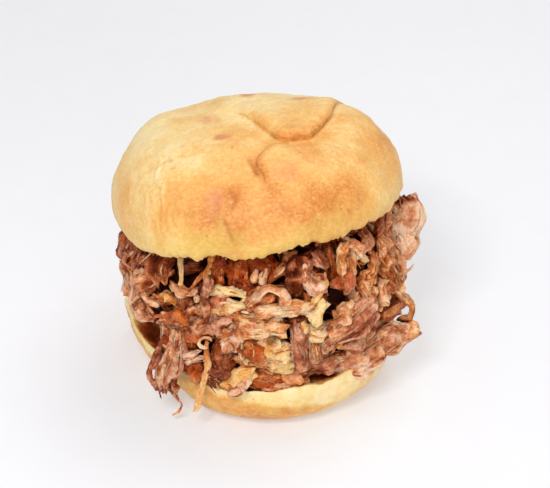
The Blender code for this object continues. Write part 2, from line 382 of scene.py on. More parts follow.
def crustMaterial():
    # soft white roll, brushed with egg and baked: satin gold skin, cream where it stretched,
    # tan where it caught the heat
    material, tree, shader = newMaterial("softBreadCrust")
    add = partial(addNode, tree)
    place = add("TexCoord", output="Object")
    toastAndPaintedLight, gold, pink, line = [add("Attribute", attribute_name=key, output="Fac")
                               for key in ("toastAndPaintedLight", "gold", "pink", "line")]
    broad = add("TexNoise", place, perMm(14), 3)
    fine = add("TexNoise", place, perMm(2.6), 4, 0.6)
    flour = add("TexNoise", place, perMm(1.1), 3, 0.65)
    # the browning attribute also carries the painted shade of the crown's folds, cracks and ridges, and the
    # heel's painted light
    level = toastAndPaintedLight
    for pattern, share in ((broad, 0.34), (fine, 0.42), (flour, 0.62)):
        level = add("Math", pattern, share, level, operation="MULTIPLY_ADD")
    level = add("Math", level, 0.69, operation="SUBTRACT", use_clamp=True)
    skin = add("ValToRGB", level, stops=((0.0, "#f2dca6"), (0.25, "#eecb88"), (0.5, "#e8b264"),
                                         (0.75, "#df9a4c"), (1.0, "#c8762e")))
    yellow = add("ValToRGB", level, stops=((0.0, "#eed288"), (0.5, "#deb45a"), (1.0, "#c88c38")))
    skin = add("Mix", gold, skin, yellow, data_type="RGBA")
    # fine pale strokes, 1 mm by 3 mm, where the skin stretched as the dough rose, and dark ones where it
    # caught the heat
    stretch = add("VectorMath", place, (0.36, 0.7, 1.0), operation="MULTIPLY")
    strokes = []
    for size, cut, gain, share, hexColour in ((0.9, 0.56, 6.0, 0.32, "#f8dc9c"),
                                              (0.75, 0.60, 5.0, 0.38, "#c88640")):
        stroke = add("Math", add("TexNoise", stretch, perMm(size), 3, 0.6), cut, operation="SUBTRACT")
        stroke = add("Math", stroke, gain, operation="MULTIPLY", use_clamp=True)
        amount = add("Math", stroke, share, operation="MULTIPLY")
        skin = add("Mix", amount, skin, linearColour(hexColour), data_type="RGBA")
        strokes.append(stroke)
    skin = add("Mix", pink, skin, linearColour("#cf7f58"), data_type="RGBA")
    # pin holes left by bubbles, darkened as painted shade, and the dark foot of a fold, a line of painted
    # shade
    cells = add("TexVoronoi", place, perMm(4.5), feature="F1")
    pit = add("Math", cells, -11.0, 1.0, operation="MULTIPLY_ADD", use_clamp=True)
    rare = add("Math", add("TexNoise", place, perMm(7), 1), 0.54, operation="GREATER_THAN")
    pit = add("Math", pit, rare, operation="MULTIPLY")
    dark = add("Math", add("Math", pit, 0.75, operation="MULTIPLY"), line, operation="MAXIMUM")
    skin = add("Mix", dark, skin, linearColour("#8c4008"), data_type="RGBA")
    height = add("Math", pit, -0.5, operation="MULTIPLY")
    for pattern, share in ((flour, 0.30), (add("TexNoise", place, perMm(3.2), 3), 0.25), (strokes[0], 0.05)):
        height = add("Math", pattern, share, height, operation="MULTIPLY_ADD")
    setInputs(tree, shader, {
        "Base Color": skin, "Normal": add("Bump", 0.7, 1.0 * mm, None, height), "IOR": 1.45,
        "Roughness": add("Math", fine, 0.16, 0.42, operation="MULTIPLY_ADD"),
        "Subsurface Weight": 0.10, "Subsurface Radius": (1.0, 0.55, 0.25), "Subsurface Scale": 1.6 * mm})
    return material


def crumbMaterial():
    # wheat bread crumb, torn and sliced: open cream sponge with small holes, damp and orange where juice
    # has soaked in
    material, tree, shader = newMaterial("slicedBreadCrumb")
    add = partial(addNode, tree)
    place = add("TexCoord", output="Object")
    stain = add("Attribute", attribute_name="stain", output="Fac")
    crumb = add("ValToRGB", add("TexNoise", place, perMm(5), 3),
                stops=((0.3, "#fff0b4"), (0.5, "#ffe296"), (0.7, "#fbcc74")))
    cells = add("TexVoronoi", place, perMm(1.5), feature="F1")
    hole = add("Math", cells, -2.6, 1.0, operation="MULTIPLY_ADD", use_clamp=True)
    someHoles = add("Math", add("TexNoise", place, perMm(2.4), 2), 0.5, operation="GREATER_THAN")
    hole = add("Math", hole, someHoles, operation="MULTIPLY")
    # painted shade: the small holes are drawn a darker cream
    crumb = add("Mix", add("Math", hole, 0.35, operation="MULTIPLY"), crumb, linearColour("#e8bc74"),
                data_type="RGBA")
    blotch = add("Math", add("TexNoise", place, perMm(3.0), 4, 0.65), 0.9, -0.45, operation="MULTIPLY_ADD")
    soak = add("Math", blotch, stain, operation="ADD", use_clamp=True)
    soak = add("Math", soak, add("Math", stain, 3.0, operation="MULTIPLY", use_clamp=True),
               operation="MULTIPLY")
    wet = add("ValToRGB", soak, stops=((0.0, "#f4d888"), (0.35, "#dc9440"), (0.7, "#b04f1a"),
                                       (1.0, "#6e260c")))
    crumb = add("Mix", add("Math", soak, 1.6, operation="MULTIPLY", use_clamp=True), crumb, wet,
                data_type="RGBA")
    height = add("Math", add("TexNoise", place, perMm(0.7), 3), 0.25,
                 add("Math", hole, -0.5, operation="MULTIPLY"), operation="MULTIPLY_ADD")
    setInputs(tree, shader, {
        "Base Color": crumb, "Normal": add("Bump", 0.6, 0.6 * mm, None, height), "Specular IOR Level": 0.3,
        "Roughness": add("Math", soak, -0.45, 0.85, operation="MULTIPLY_ADD"),
        "Subsurface Weight": 0.2, "Subsurface Radius": (1.0, 0.7, 0.35), "Subsurface Scale": 1.5 * mm})
    return material


breadCrust = crustMaterial()
breadCrumb = crumbMaterial()


def makeCrown():
    skin, rows, columns, crustRows, marks, places, rise, turn = crownSkin()
    toastAndPaintedLight = np.full(len(places), 0.46)
    degrees, angle = np.degrees(turn), np.degrees(rise)
    for amount, direction, height, spread in crown["toasted"]:
        across = turnApart(degrees, direction) * np.cos(np.radians(height))
        toastAndPaintedLight += amount * bell(np.hypot(across, angle - height), spread)
    # painted shade from the folds, cracks and ridges is added to the browning value
    toastAndPaintedLight += 0.22 * marks["shade"] + layeredNoise(places, (0.10, 22, 31), (0.09, 7, 32))
    # the lower edge, which browned least, is yellow all along the front
    gold = np.clip(1.5 - marks["toEdge"] / 9 + 0.45 * softNoise(places, 6, 33), 0, 1)
    gold *= bell(turnApart(degrees, 262), 60)
    toastAndPaintedLight -= 0.10 * gold
    pink = np.zeros(len(places))
    for strength, across, back, spread in crown["scorches"]:
        distance = np.hypot(places[:, 0] - across, places[:, 1] - back) + 0.8 * softNoise(places, 2.5, 34)
        pink += strength * np.clip(1.5 - distance / spread, 0, 1) * (rise > 0)
    # line is the thin dark line of painted shade at the foot of each fold and in the cracks
    numbers = {"toastAndPaintedLight": toastAndPaintedLight, "gold": gold, "pink": pink, "line": 0.8 * np.clip(marks["line"], 0, 1)}
    for key, values in numbers.items():
        whole = np.zeros(len(skin))
        whole[1:1 + len(values)] = values
        whole[0] = values[:columns].mean()
        numbers[key] = whole
    faces = ringFaces(rows, columns)
    slots = [0] * len(faces)
    firstUnder = 2 * columns + (crustRows - 1) * columns
    for i in range(firstUnder, len(faces)):
        slots[i] = 1
    for c in range(columns):
        slots[2 * c + 1] = 1
    rings = (np.arange(len(skin)) - 1) // columns - crustRows + 1
    numbers["stain"] = np.clip(0.30 + 0.15 * rings, 0.30, 0.9)
    return buildMesh("bunCrown", skin, faces, [breadCrust, breadCrumb], numbers, None, slots)


bunCrown = makeCrown()
print("crown of the roll shaped")

# the heel of the roll; lengths in mm, directions in degrees

heel = {
    "centre": (-1.0, 1.5), "radius": 54.0, "foot": 44.5, "leftThick": 10.5, "rightThick": 20.0, "dish": 0.9,
    "rimLift": 8.5, "liftFrom": 20.0,               # the left rim curls up off the table
    # where the round is pressed in: share of the radius, direction, spread
    "squeeze": ((0.12, 220.0, 24.0), (0.03, 262.0, 30.0), (-0.07, 168.0, 9.0)),
    "crest": (6.6, 268.0, 50.0),                    # how far the front rim stands up: mm, direction, spread
    "columns": 400, "faceRows": 36, "wallRows": 28, "footRows": 6,
    # sauce soaked into the sliced face: strength, direction, distance from the middle, spread in mm
    "stains": ((0.9, 314, 46, 3), (0.7, 310, 42, 4), (0.8, 181, 48, 5), (0.9, 192, 46, 6), (0.9, 205, 43, 7),
               (0.6, 272, 35, 6), (0.5, 250, 36, 5), (0.5, 290, 36, 5),
               (0.9, 222, 41, 7), (0.8, 240, 42, 6), (0.9, 301, 45, 6)),
}


def heelSkin():
    columns = heel["columns"]
    turn = np.arange(columns) / columns * 2 * math.pi
    degrees = np.degrees(turn)
    full = np.full(columns, heel["radius"])
    for part, direction, spread in heel["squeeze"]:
        full -= heel["radius"] * part * bell(turnApart(degrees, direction), spread)
    rise, direction, spread = heel["crest"]
    circle = circleOf(turn)
    crest = rise * bell(turnApart(degrees, direction), spread)
    crest += layeredNoise(circle * 55, (0.5, 8, 51), (0.35, 2.6, 52))
    foot = heel["foot"] * full / heel["radius"]
    # the radius and the share of the height of each ring: over the sliced face, down the wall, under the foot
    down = []
    for i in range(heel["faceRows"]):
        share = (i + 1) / heel["faceRows"]
        down.append(((full - 1.2) * share ** 0.8, np.ones(columns)))
    for i in range(heel["wallRows"]):
        share = (i + 1) / heel["wallRows"]
        wall = full - 1.2 * (1 - share) ** 8 - (full - foot) * share ** 3.2
        down.append((wall, np.full(columns, 1 - share)))
    for i in range(heel["footRows"]):
        down.append((foot * (1 - (i + 1) / (heel["footRows"] + 1)), np.zeros(columns)))
    rings = []
    for i, (radius, level) in enumerate(down):
        x = heel["centre"][0] + radius * np.cos(turn)
        y = heel["centre"][1] + radius * np.sin(turn)
        toRight = (x + heel["radius"]) / (2 * heel["radius"])
        thick = heel["leftThick"] + (heel["rightThick"] - heel["leftThick"]) * toRight
        thick -= heel["dish"] * (1 - (radius / full) ** 2)
        pastLift = (-x - heel["liftFrom"]) / (heel["radius"] - heel["liftFrom"])
        lift = heel["rimLift"] * np.clip(pastLift, 0, 1) ** 1.5
        if i < heel["faceRows"]:
            thick += crest * np.clip((radius / full - 0.78) / 0.20, 0, 1) ** 1.5
        else:
            thick += crest
        ring = np.stack([x, y, lift + thick * level], -1)
        if i < heel["faceRows"]:
            sponge = layeredNoise(ring, (0.45, 3.2, 41), (0.3, 1.3, 42), (0.5, 12, 43))
            ring[:, 2] += sponge * min(1.0, (heel["faceRows"] - i) / 3)
        elif i < heel["faceRows"] + heel["wallRows"]:
            swell = layeredNoise(ring, (0.40, 12, 44), (0.16, 4, 45), (0.10, 1.5, 53))
            around = np.stack([turn * 50, ring[:, 2] * 2.5, turn * 0], -1)
            swell -= 0.15 * np.clip(softNoise(around, 6, 46), 0, 1)
            ring = ring + circle * (swell * np.clip(4 * level * (1 - level) * 2, 0, 1))[:, None]
        rings.append(ring)
    rings = np.array(rings)
    top = rings[0].mean(axis=0)
    bottom = rings[-1].mean(axis=0)
    upward = np.concatenate([[1], np.array([level for _, level in down]).ravel(), [0]])
    return np.concatenate([top[None], rings.reshape(-1, 3), bottom[None]]), upward, len(down), columns


def makeHeel():
    skin, upward, rows, columns = heelSkin()
    radius = np.hypot(skin[:, 0] - heel["centre"][0], skin[:, 1] - heel["centre"][1])
    degrees = np.degrees(np.arctan2(skin[:, 1] - heel["centre"][1], skin[:, 0] - heel["centre"][0]))
    stain = np.zeros(len(skin))
    for strength, direction, distance, spread in heel["stains"]:
        spot = circleOf(math.radians(direction)) * distance
        stain += strength * bell(np.hypot(skin[:, 0] - spot[0], skin[:, 1] - spot[1]), spread)
    stain += 0.8 * np.clip((37 + 8 * bell(turnApart(degrees, 268), 45) - radius) / 6, 0, 1)
    stain = np.clip(stain, 0, 1.1)
    # the wall browned from below, most at the front left; its upper part and the right side stayed pale
    rightSide = np.clip(1.25 * np.cos(np.radians(degrees - 345)), 0, 1)
    paleFrom = 0.84 - 0.46 * rightSide + 0.12 * bell(turnApart(degrees, 238), 24)
    paleFrom += 0.06 * softNoise(skin, 9, 49)
    pale = np.clip((upward - paleFrom) / 0.14 + 0.5, 0, 1)
    toastAndPaintedLight = 0.80 - 0.70 * pale - 0.34 * rightSide * (1 - pale)
    # painted light: low on the front left, where the hanging clump's shadow falls, the wall is drawn paler
    toastAndPaintedLight -= 0.24 * bell(turnApart(degrees, 220), 24) * (1 - pale)
    toastAndPaintedLight += 0.10 * softNoise(skin * [1, 1, 1.6], 8, 47) + 0.10 * softNoise(skin, 2.6, 50)
    gold = 0.12 + 0.3 * softNoise(skin, 8, 48) + 0.10 * pale
    faces = ringFaces(rows, columns)
    faceCount = (heel["faceRows"] - 1) * columns
    slots = [0] * len(faces)
    for c in range(columns):
        slots[2 * c] = 1
    for i in range(2 * columns, 2 * columns + faceCount):
        slots[i] = 1
    numbers = {"toastAndPaintedLight": toastAndPaintedLight, "gold": np.clip(gold, 0, 0.7), "pink": 0 * toastAndPaintedLight, "line": 0 * toastAndPaintedLight,
               "stain": stain}
    return buildMesh("bunHeel", skin, faces, [breadCrust, breadCrumb], numbers, None, slots)


bunHeel = makeHeel()
print("heel of the roll shaped")

# loose crumbs: how many on each cut edge, and their radius in mm

crumbs = {"onCrown": 150, "onHeel": 70, "size": (0.15, 0.35)}


def makeCrumbs():
    # crumbs torn loose along both cut edges
    random = np.random.default_rng(8)
    rimStart = 1 + (crown["rows"] - 1) * crown["columns"]
    crownRim = [v.co / mm for v in bunCrown.data.vertices[rimStart:rimStart + crown["columns"]]]
    rimStart = 1 + (heel["faceRows"] - 3) * heel["columns"]
    heelRim = [v.co / mm for v in bunHeel.data.vertices[rimStart:rimStart + 2 * heel["columns"]]]
    turn, rise = np.meshgrid(np.arange(7) / 7 * 2 * math.pi, np.linspace(70, -70, 5) * math.pi / 180)
    ball = np.stack([np.cos(rise) * np.cos(turn), np.cos(rise) * np.sin(turn), np.sin(rise)], -1)
    ball = np.concatenate([[[0, 0, 1.0]], ball.reshape(-1, 3), [[0, 0, -1.0]]])
    points, faces, stain = [], [], []
    for rim, count, spread in ((crownRim, crumbs["onCrown"], 0.3), (heelRim, crumbs["onHeel"], 0.5)):
        for i in range(count):
            place = np.array(rim[random.integers(len(rim))]) + random.normal(0, spread, 3)
            lump = ball * random.uniform(*crumbs["size"]) * random.uniform(0.6, 1.2, 3)
            lump = lump * (1 + 0.35 * softNoise(ball + 9 * i, 0.9, 81))[:, None]
            faces.extend(ringFaces(5, 7, len(points) * len(ball)))
            points.append(place + lump)
            stain.append(np.full(len(ball), random.choice([0.5, 0.6, 0.8])))
    return buildMesh("breadCrumbs", np.concatenate(points), faces, [breadCrumb],
                     {"stain": np.concatenate(stain)})


breadCrumbs = makeCrumbs()
print("crumbs scattered")

# the pulled pork, heaped to the outline of its plain solid

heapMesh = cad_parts["pulled_pork"].data
heapSkin = BVHTree.FromPolygons([v.co for v in heapMesh.vertices], [p.vertices for p in heapMesh.polygons])
heapAxis = np.array([0.5, 1.0])
# mm from the axis: where the search for the outline starts, the nearest hit that counts, and the reach where
# there is none
outlineReach = {"start": 120, "nearest": 25, "otherwise": 44}


def heapOut(direction):
    angle = math.radians(direction)
    return np.array([math.cos(angle), math.sin(angle), 0.0])


def heapPlace(direction, height, proud=0.0):
    # a point on the heap's outline in this direction, proud mm outside it
    out = heapOut(direction)
    for drop in range(0, 14):
        start = np.array([*heapAxis, height - drop]) + out * outlineReach["start"]
        hit = heapSkin.ray_cast(Vector(start * mm), Vector(-out))[0]
        if hit is not None:
            reach = np.hypot(hit.x / mm - heapAxis[0], hit.y / mm - heapAxis[1])
            if reach > outlineReach["nearest"]:
                return np.array([*heapAxis, height]) + out * (reach + proud)
    return np.array([*heapAxis, height]) + out * (outlineReach["otherwise"] + proud)


turnStep, heightStep = 3.0, 2.5
skinTurns, skinHeights = np.arange(0, 360, turnStep), np.arange(8, 100, heightStep)
skinReach = np.array([[np.hypot(*(heapPlace(turn, height)[:2] - heapAxis)) for height in skinHeights]
                      for turn in skinTurns])


def depthOf(points):
    # 0 at the heap's outline, 1 deep in the gaps between the shreds, below 0 for what stands out; the deeper
    # meat lies, the darker it is drawn, as painted shade
    away = points[:, :2] - heapAxis
    turn = np.degrees(np.arctan2(away[:, 1], away[:, 0])) % 360 / turnStep
    level = np.clip((points[:, 2] - skinHeights[0]) / heightStep, 0, len(skinHeights) - 1.01)
    row, column = turn.astype(int) % len(skinTurns), level.astype(int)
    nextRow = (row + 1) % len(skinTurns)
    u, v = turn - row, level - column
    reach = (1 - u) * ((1 - v) * skinReach[row, column] + v * skinReach[row, column + 1])
    reach += u * ((1 - v) * skinReach[nextRow, column] + v * skinReach[nextRow, column + 1])
    return np.clip((reach - np.hypot(away[:, 0], away[:, 1])) / 6, -0.3, 1)


def smoothPath(points, count):
    # even points on a smooth curve through the given ones
    points = np.array(points, float)
    if len(points) == 2:
        return points[0] + (points[1] - points[0]) * np.linspace(0, 1, count)[:, None]
    padded = np.concatenate([[2 * points[0] - points[1]], points, [2 * points[-1] - points[-2]]])
    fine = []
    for i in range(1, len(padded) - 2):
        a, b, c, d = padded[i - 1:i + 3]
        t = np.linspace(0, 1, 24, endpoint=False)[:, None]
        bent = (2 * a - 5 * b + 4 * c - d) * t ** 2 + (3 * b - a - 3 * c + d) * t ** 3
        fine.append(0.5 * (2 * b + (c - a) * t + bent))
    fine = np.concatenate(fine + [points[-1:]])
    covered = np.concatenate([[0], np.cumsum(np.linalg.norm(np.diff(fine, axis=0), axis=1))])
    even = np.linspace(0, covered[-1], count)
    return np.stack([np.interp(even, covered, fine[:, k]) for k in range(3)], -1)


# How each kind of piece is torn. In mm: the width of one bundle of fibres, the groove between two, lumps,
# grain, how ragged the ends are, crinkles, and the rounding of an end (cap). Boxy below 1 is squarer than
# round, and cup and taper are shares of the width: how far the edges curl back, and how wide the ends are.
tearing = ("boxy", "fibre", "groove", "lump", "grain", "ragged", "cup", "crinkle", "cap", "taper")
kinds = {kind: dict(zip(tearing, sizes)) for kind, *sizes in (
    ("porkSlabs", 0.60, 1.4, 0.20, 0.55, 0.60, 3.0, 0.06, 0.30, 0.5, 0.95),
    ("porkFlakes", 0.62, 1.2, 0.14, 0.42, 0.45, 2.8, 0.10, 0.45, 0.5, 0.90),
    ("porkChunks", 0.66, 1.8, 0.20, 1.1, 1.1, 2.6, 0.0, 0.30, 1.0, 0.85),
    ("porkStrands", 0.9, 0.9, 0.12, 0.22, 0.25, 0.6, 0.0, 0.2, 1.0, 0.60),
    ("porkFat", 0.64, 1.3, 0.24, 0.4, 0.60, 2.4, 0.10, 0.6, 0.7, 0.80),
    ("porkBits", 0.7, 1.2, 0.25, 0.6, 0.6, 0.5, 0.0, 0.2, 0.9, 0.75),
    ("porkBed", 0.62, 2.0, 0.35, 0.9, 0.9, 1.6, 0.0, 0.30, 1.2, 0.75),
    ("herbLeaf", 0.8, 1.5, 0.1, 0.2, 0.1, 0.4, 0.15, 0.3, 1.5, 0.5),
    ("porkSauce", 0.70, 1.8, 0.35, 0.8, 0.75, 2.5, 0.0, 0.6, 2.2, 0.80),
)}
heap = {kind: [] for kind in [*kinds, "porkFibres"]}


def gridOf(x, y, z):
    # one point for each place along and around a piece
    return np.stack(np.broadcast_arrays(x, y, z), -1)


def shred(kind, path, width, thick, face, tone=0.5, warm=0.5, sauce=0.0, roll=0.0, twist=0.0, taper=None,
          cup=None, wave=None, step=0.46, frays=0, ribs=0):
    # one torn piece swept along a path; face is the way its flat side looks, tone runs from pale to dark
    look = kinds[kind]
    length = np.linalg.norm(np.diff(np.array(path), axis=0), axis=1).sum()
    perimeter = 2.1 * (width + thick)
    columns = int(np.clip(perimeter / step, 8, 72))
    rows = int(np.clip(length / (step * 1.25), 8, 90))
    spine = smoothPath(path, rows)
    # each piece is torn in its own way, which its place decides
    seed = int(abs(np.sum(np.array(path) * [7.1, 13.7, 3.3])) * 100) % 99991
    chance = np.random.default_rng(seed)
    offset = seed % 997
    t = np.linspace(0, 1, rows)
    mmAlong = t * length
    line = np.stack([mmAlong, t * 0 + offset, t * 0], -1)
    bend = np.stack([softNoise(line, 6, seed + k) for k in range(3)], -1) * min(0.45, length * 0.03)
    spine = spine + bend * np.sin(t * math.pi)[:, None]
    tangent = unit(np.gradient(spine, axis=0))
    side = unit(np.cross(tangent, np.broadcast_to(face, tangent.shape)))
    outward = np.cross(side, tangent)
    turned = np.radians(roll + twist * (t - 0.5))[:, None]
    cos, sin = np.cos(turned), np.sin(turned)
    side, outward = side * cos + outward * sin, outward * cos - side * sin
    angle = (np.arange(columns) + 0.5) / columns * 2 * math.pi
    across = np.sign(np.cos(angle)) * np.abs(np.cos(angle)) ** look["boxy"]
    up = np.sign(np.sin(angle)) * np.abs(np.sin(angle)) ** look["boxy"]
    around = angle / (2 * math.pi) * perimeter
    grid = gridOf(mmAlong[:, None], around, offset)
    # the section is never quite the same: points round it, followed along the piece
    section = gridOf(across * max(width, 3) / 2, up * max(thick, 2) / 2, mmAlong[:, None] * 0.5 + offset)
    facets = 1 + 0.26 * min(1, 8 / width) * softNoise(section, max(2.2, width * 0.45), seed + 3)
    startShape, endShape = taper or (look["taper"], look["taper"])
    shape = np.interp(t, [0, 0.3, 0.7, 1], [startShape, 1.0, 1.0, endShape])
    shape = shape * (1 + 0.25 * softNoise(line + 50, 4, seed) * min(1, length / 8) * min(1, 7 / width))
    cap = max(2.0, length / look["cap"])
    ends = np.maximum(np.clip(1 - np.abs(2 * t - 1) ** cap, 0, 1) ** 0.5, 0.05)
    # torn ends: each bundle of fibres stops at its own length
    tear = look["ragged"] * min(1.0, length / 9) * min(1.0, width / 4)
    torn = section * [1, 0.8, 0] + [0, 0, offset]
    startTear = layeredNoise(torn, (1, look["fibre"] * 0.9, seed + 5), (0.6, 3.5, seed + 6))
    endTear = layeredNoise(torn, (1, look["fibre"] * 0.9, seed + 7), (0.6, 3.5, seed + 8))
    nearStart = np.clip(1 - mmAlong / (tear * 2.2 + 0.5), 0, 1)[:, None]
    nearEnd = np.clip(1 - (length - mmAlong) / (tear * 2.2 + 0.5), 0, 1)[:, None]
    slide = tear * (np.clip(endTear, -1, 1) * nearEnd ** 1.3 - np.clip(startTear, -1, 1) * nearStart ** 1.3)
    evenly = slide.mean(axis=1, keepdims=True)
    slide = evenly + (slide - evenly) * ends[:, None]
    # grooves between the bundles wander along the piece and open out at its ends
    deeper = 1 + 1.3 * np.maximum(nearStart, nearEnd)
    seams = np.abs(softNoise(grid * [0.12, 1, 1], look["fibre"] * 1.5, seed + 9))
    groove = np.clip(1 - 2.8 * seams, 0, 1) ** 1.4 * deeper
    steps = softNoise(grid * [0.16, 1, 1], look["fibre"] * 1.5, seed + 10)
    relief = look["groove"] * (0.9 * steps - 1.3 * groove)
    solid = section * [1, 1, 2]
    relief += look["lump"] * softNoise(solid + 300, 3.4, seed + 11)
    relief += look["grain"] * (grainNoise(solid, 1.6, seed) - 0.6 + 0.3 * softNoise(solid, 0.9, seed + 14))
    swell = relief * min(1.0, thick / 2.2) * ends[:, None]
    x = (width / 2 * shape * ends)[:, None] * across[None] * facets
    y = (thick / 2 * (0.45 + 0.55 * shape) * ends)[:, None] * up[None] * facets
    cupping = (look["cup"] if cup is None else cup) * width * (across[None] ** 2 - 0.3)
    sheet = gridOf(mmAlong[:, None], across * width / 2, offset)
    folds = (look["crinkle"] if wave is None else wave) * min(1.0, width / 5)
    crumple = folds * layeredNoise(sheet, (1, 3.2, seed + 12), (0.5, 1.7, seed + 15))
    x = x + swell * np.cos(angle)[None]
    y = y + swell * np.sin(angle)[None] - cupping + crumple
    points = spine[:, None] + side[:, None] * x[..., None] + outward[:, None] * y[..., None]
    points = points + tangent[:, None] * slide[..., None]
    # painted light and shade: raised parts of a piece are drawn paler, and what lies low, and its underside,
    # darker
    hollow = np.clip(0.45 - relief / (2.2 * (look["groove"] + look["lump"] * 0.6)), 0, 1)
    hollow = np.clip(hollow + 0.12 * np.clip(0.15 - up, 0, 1)[None], 0, 1)
    points = np.concatenate([points[0].mean(0)[None], points.reshape(-1, 3), points[-1].mean(0)[None]])
    fibre = np.concatenate([[[0, 0, offset]], grid.reshape(-1, 3), [[length, 0, offset]]])
    count = len(points)
    coat = np.clip(np.full(count, sauce) + 0.3 * softNoise(points, 7, 61) * (sauce > 0), 0, 1)
    hollow = np.concatenate([[0.5], hollow.ravel(), [0.5]])
    heap[kind].append((points, rows, columns, np.full(count, tone), np.full(count, warm), coat, hollow,
                       fibre))
    for i in range(ribs):
        # loose bundles lying along the piece, each over its own stretch of it
        shareAcross = ((i + 0.5) / ribs - 0.5) * 0.92 + chance.uniform(-0.5, 0.5) / ribs
        drift = chance.normal(0, 0.06)
        first, last = sorted(chance.uniform(0, 0.35, 2) + [0, chance.uniform(0.45, 0.75)])
        places = []
        for share in np.linspace(first, min(last, 1.0), 5):
            r = int(share * (rows - 1))
            u = np.clip(shareAcross + drift * (share - 0.5) * 2, -0.5, 0.5)
            c = int(np.argmin(np.abs(across / 2 - u) + 9 * (up < 0)))
            places.append(points[1 + r * columns + c])
        places = np.array(places)
        if np.linalg.norm(places[-1] - places[0]) < 2.0:
            continue
        places[-1] += unit(places[-1] - places[-2]) * chance.uniform(0, 1.6) * (last > 0.85)
        size = chance.uniform(0.9, 1.7) * min(1.0, width / 5)
        shred("porkStrands", places, size, size * 0.8, face, tone=tone + chance.normal(-0.02, 0.12),
              warm=warm, sauce=sauce, taper=(0.5, 0.5), step=max(step, 0.42), roll=chance.uniform(-40, 40))
    for _ in range(frays):
        # single fibres pulled out of the torn end
        shareAcross = chance.uniform(-0.42, 0.42)
        last = -1 if chance.uniform() < 0.7 else 0
        out = tangent[last] * (1 if last else -1)
        root = spine[last] + side[last] * shareAcross * width * shape[last] - out * 1.5
        away = unit(out + side[last] * shareAcross * 0.8 + chance.normal(0, 0.22, 3))
        tip = root + away * chance.uniform(3, 5.5)
        places = [root, (root + tip) / 2 + chance.normal(0, 0.3, 3), tip]
        shred("porkStrands", places, chance.uniform(0.8, 1.3), 0.8, face, tone=tone - 0.15, warm=warm,
              sauce=sauce * 0.5, taper=(1.0, 0.35), step=0.5)


def joinShreds(kind, material):
    lists = list(zip(*heap[kind]))
    faces, start = [], 0
    for points, rows, columns in zip(lists[0], lists[1], lists[2]):
        faces.extend(ringFaces(rows, columns, start))
        start += len(points)
    points = np.concatenate(lists[0])
    numbers = dict(zip(("tone", "warm", "sauce", "hollow"), map(np.concatenate, lists[3:7])))
    numbers["deep"] = depthOf(points)
    # painted shade: the left side of the heap is drawn darker
    turn = np.degrees(np.arctan2(points[:, 1] - heapAxis[1], points[:, 0] - heapAxis[0]))
    numbers["tone"] = numbers["tone"] + 0.12 * bell(turnApart(turn, 215), 35)
    piece = buildMesh(kind, points, faces, [material], numbers, {"fibre": np.concatenate(lists[7])})
    print(kind, len(heap[kind]), "pieces", sum(len(f) - 2 for f in faces), "triangles")
    return piece


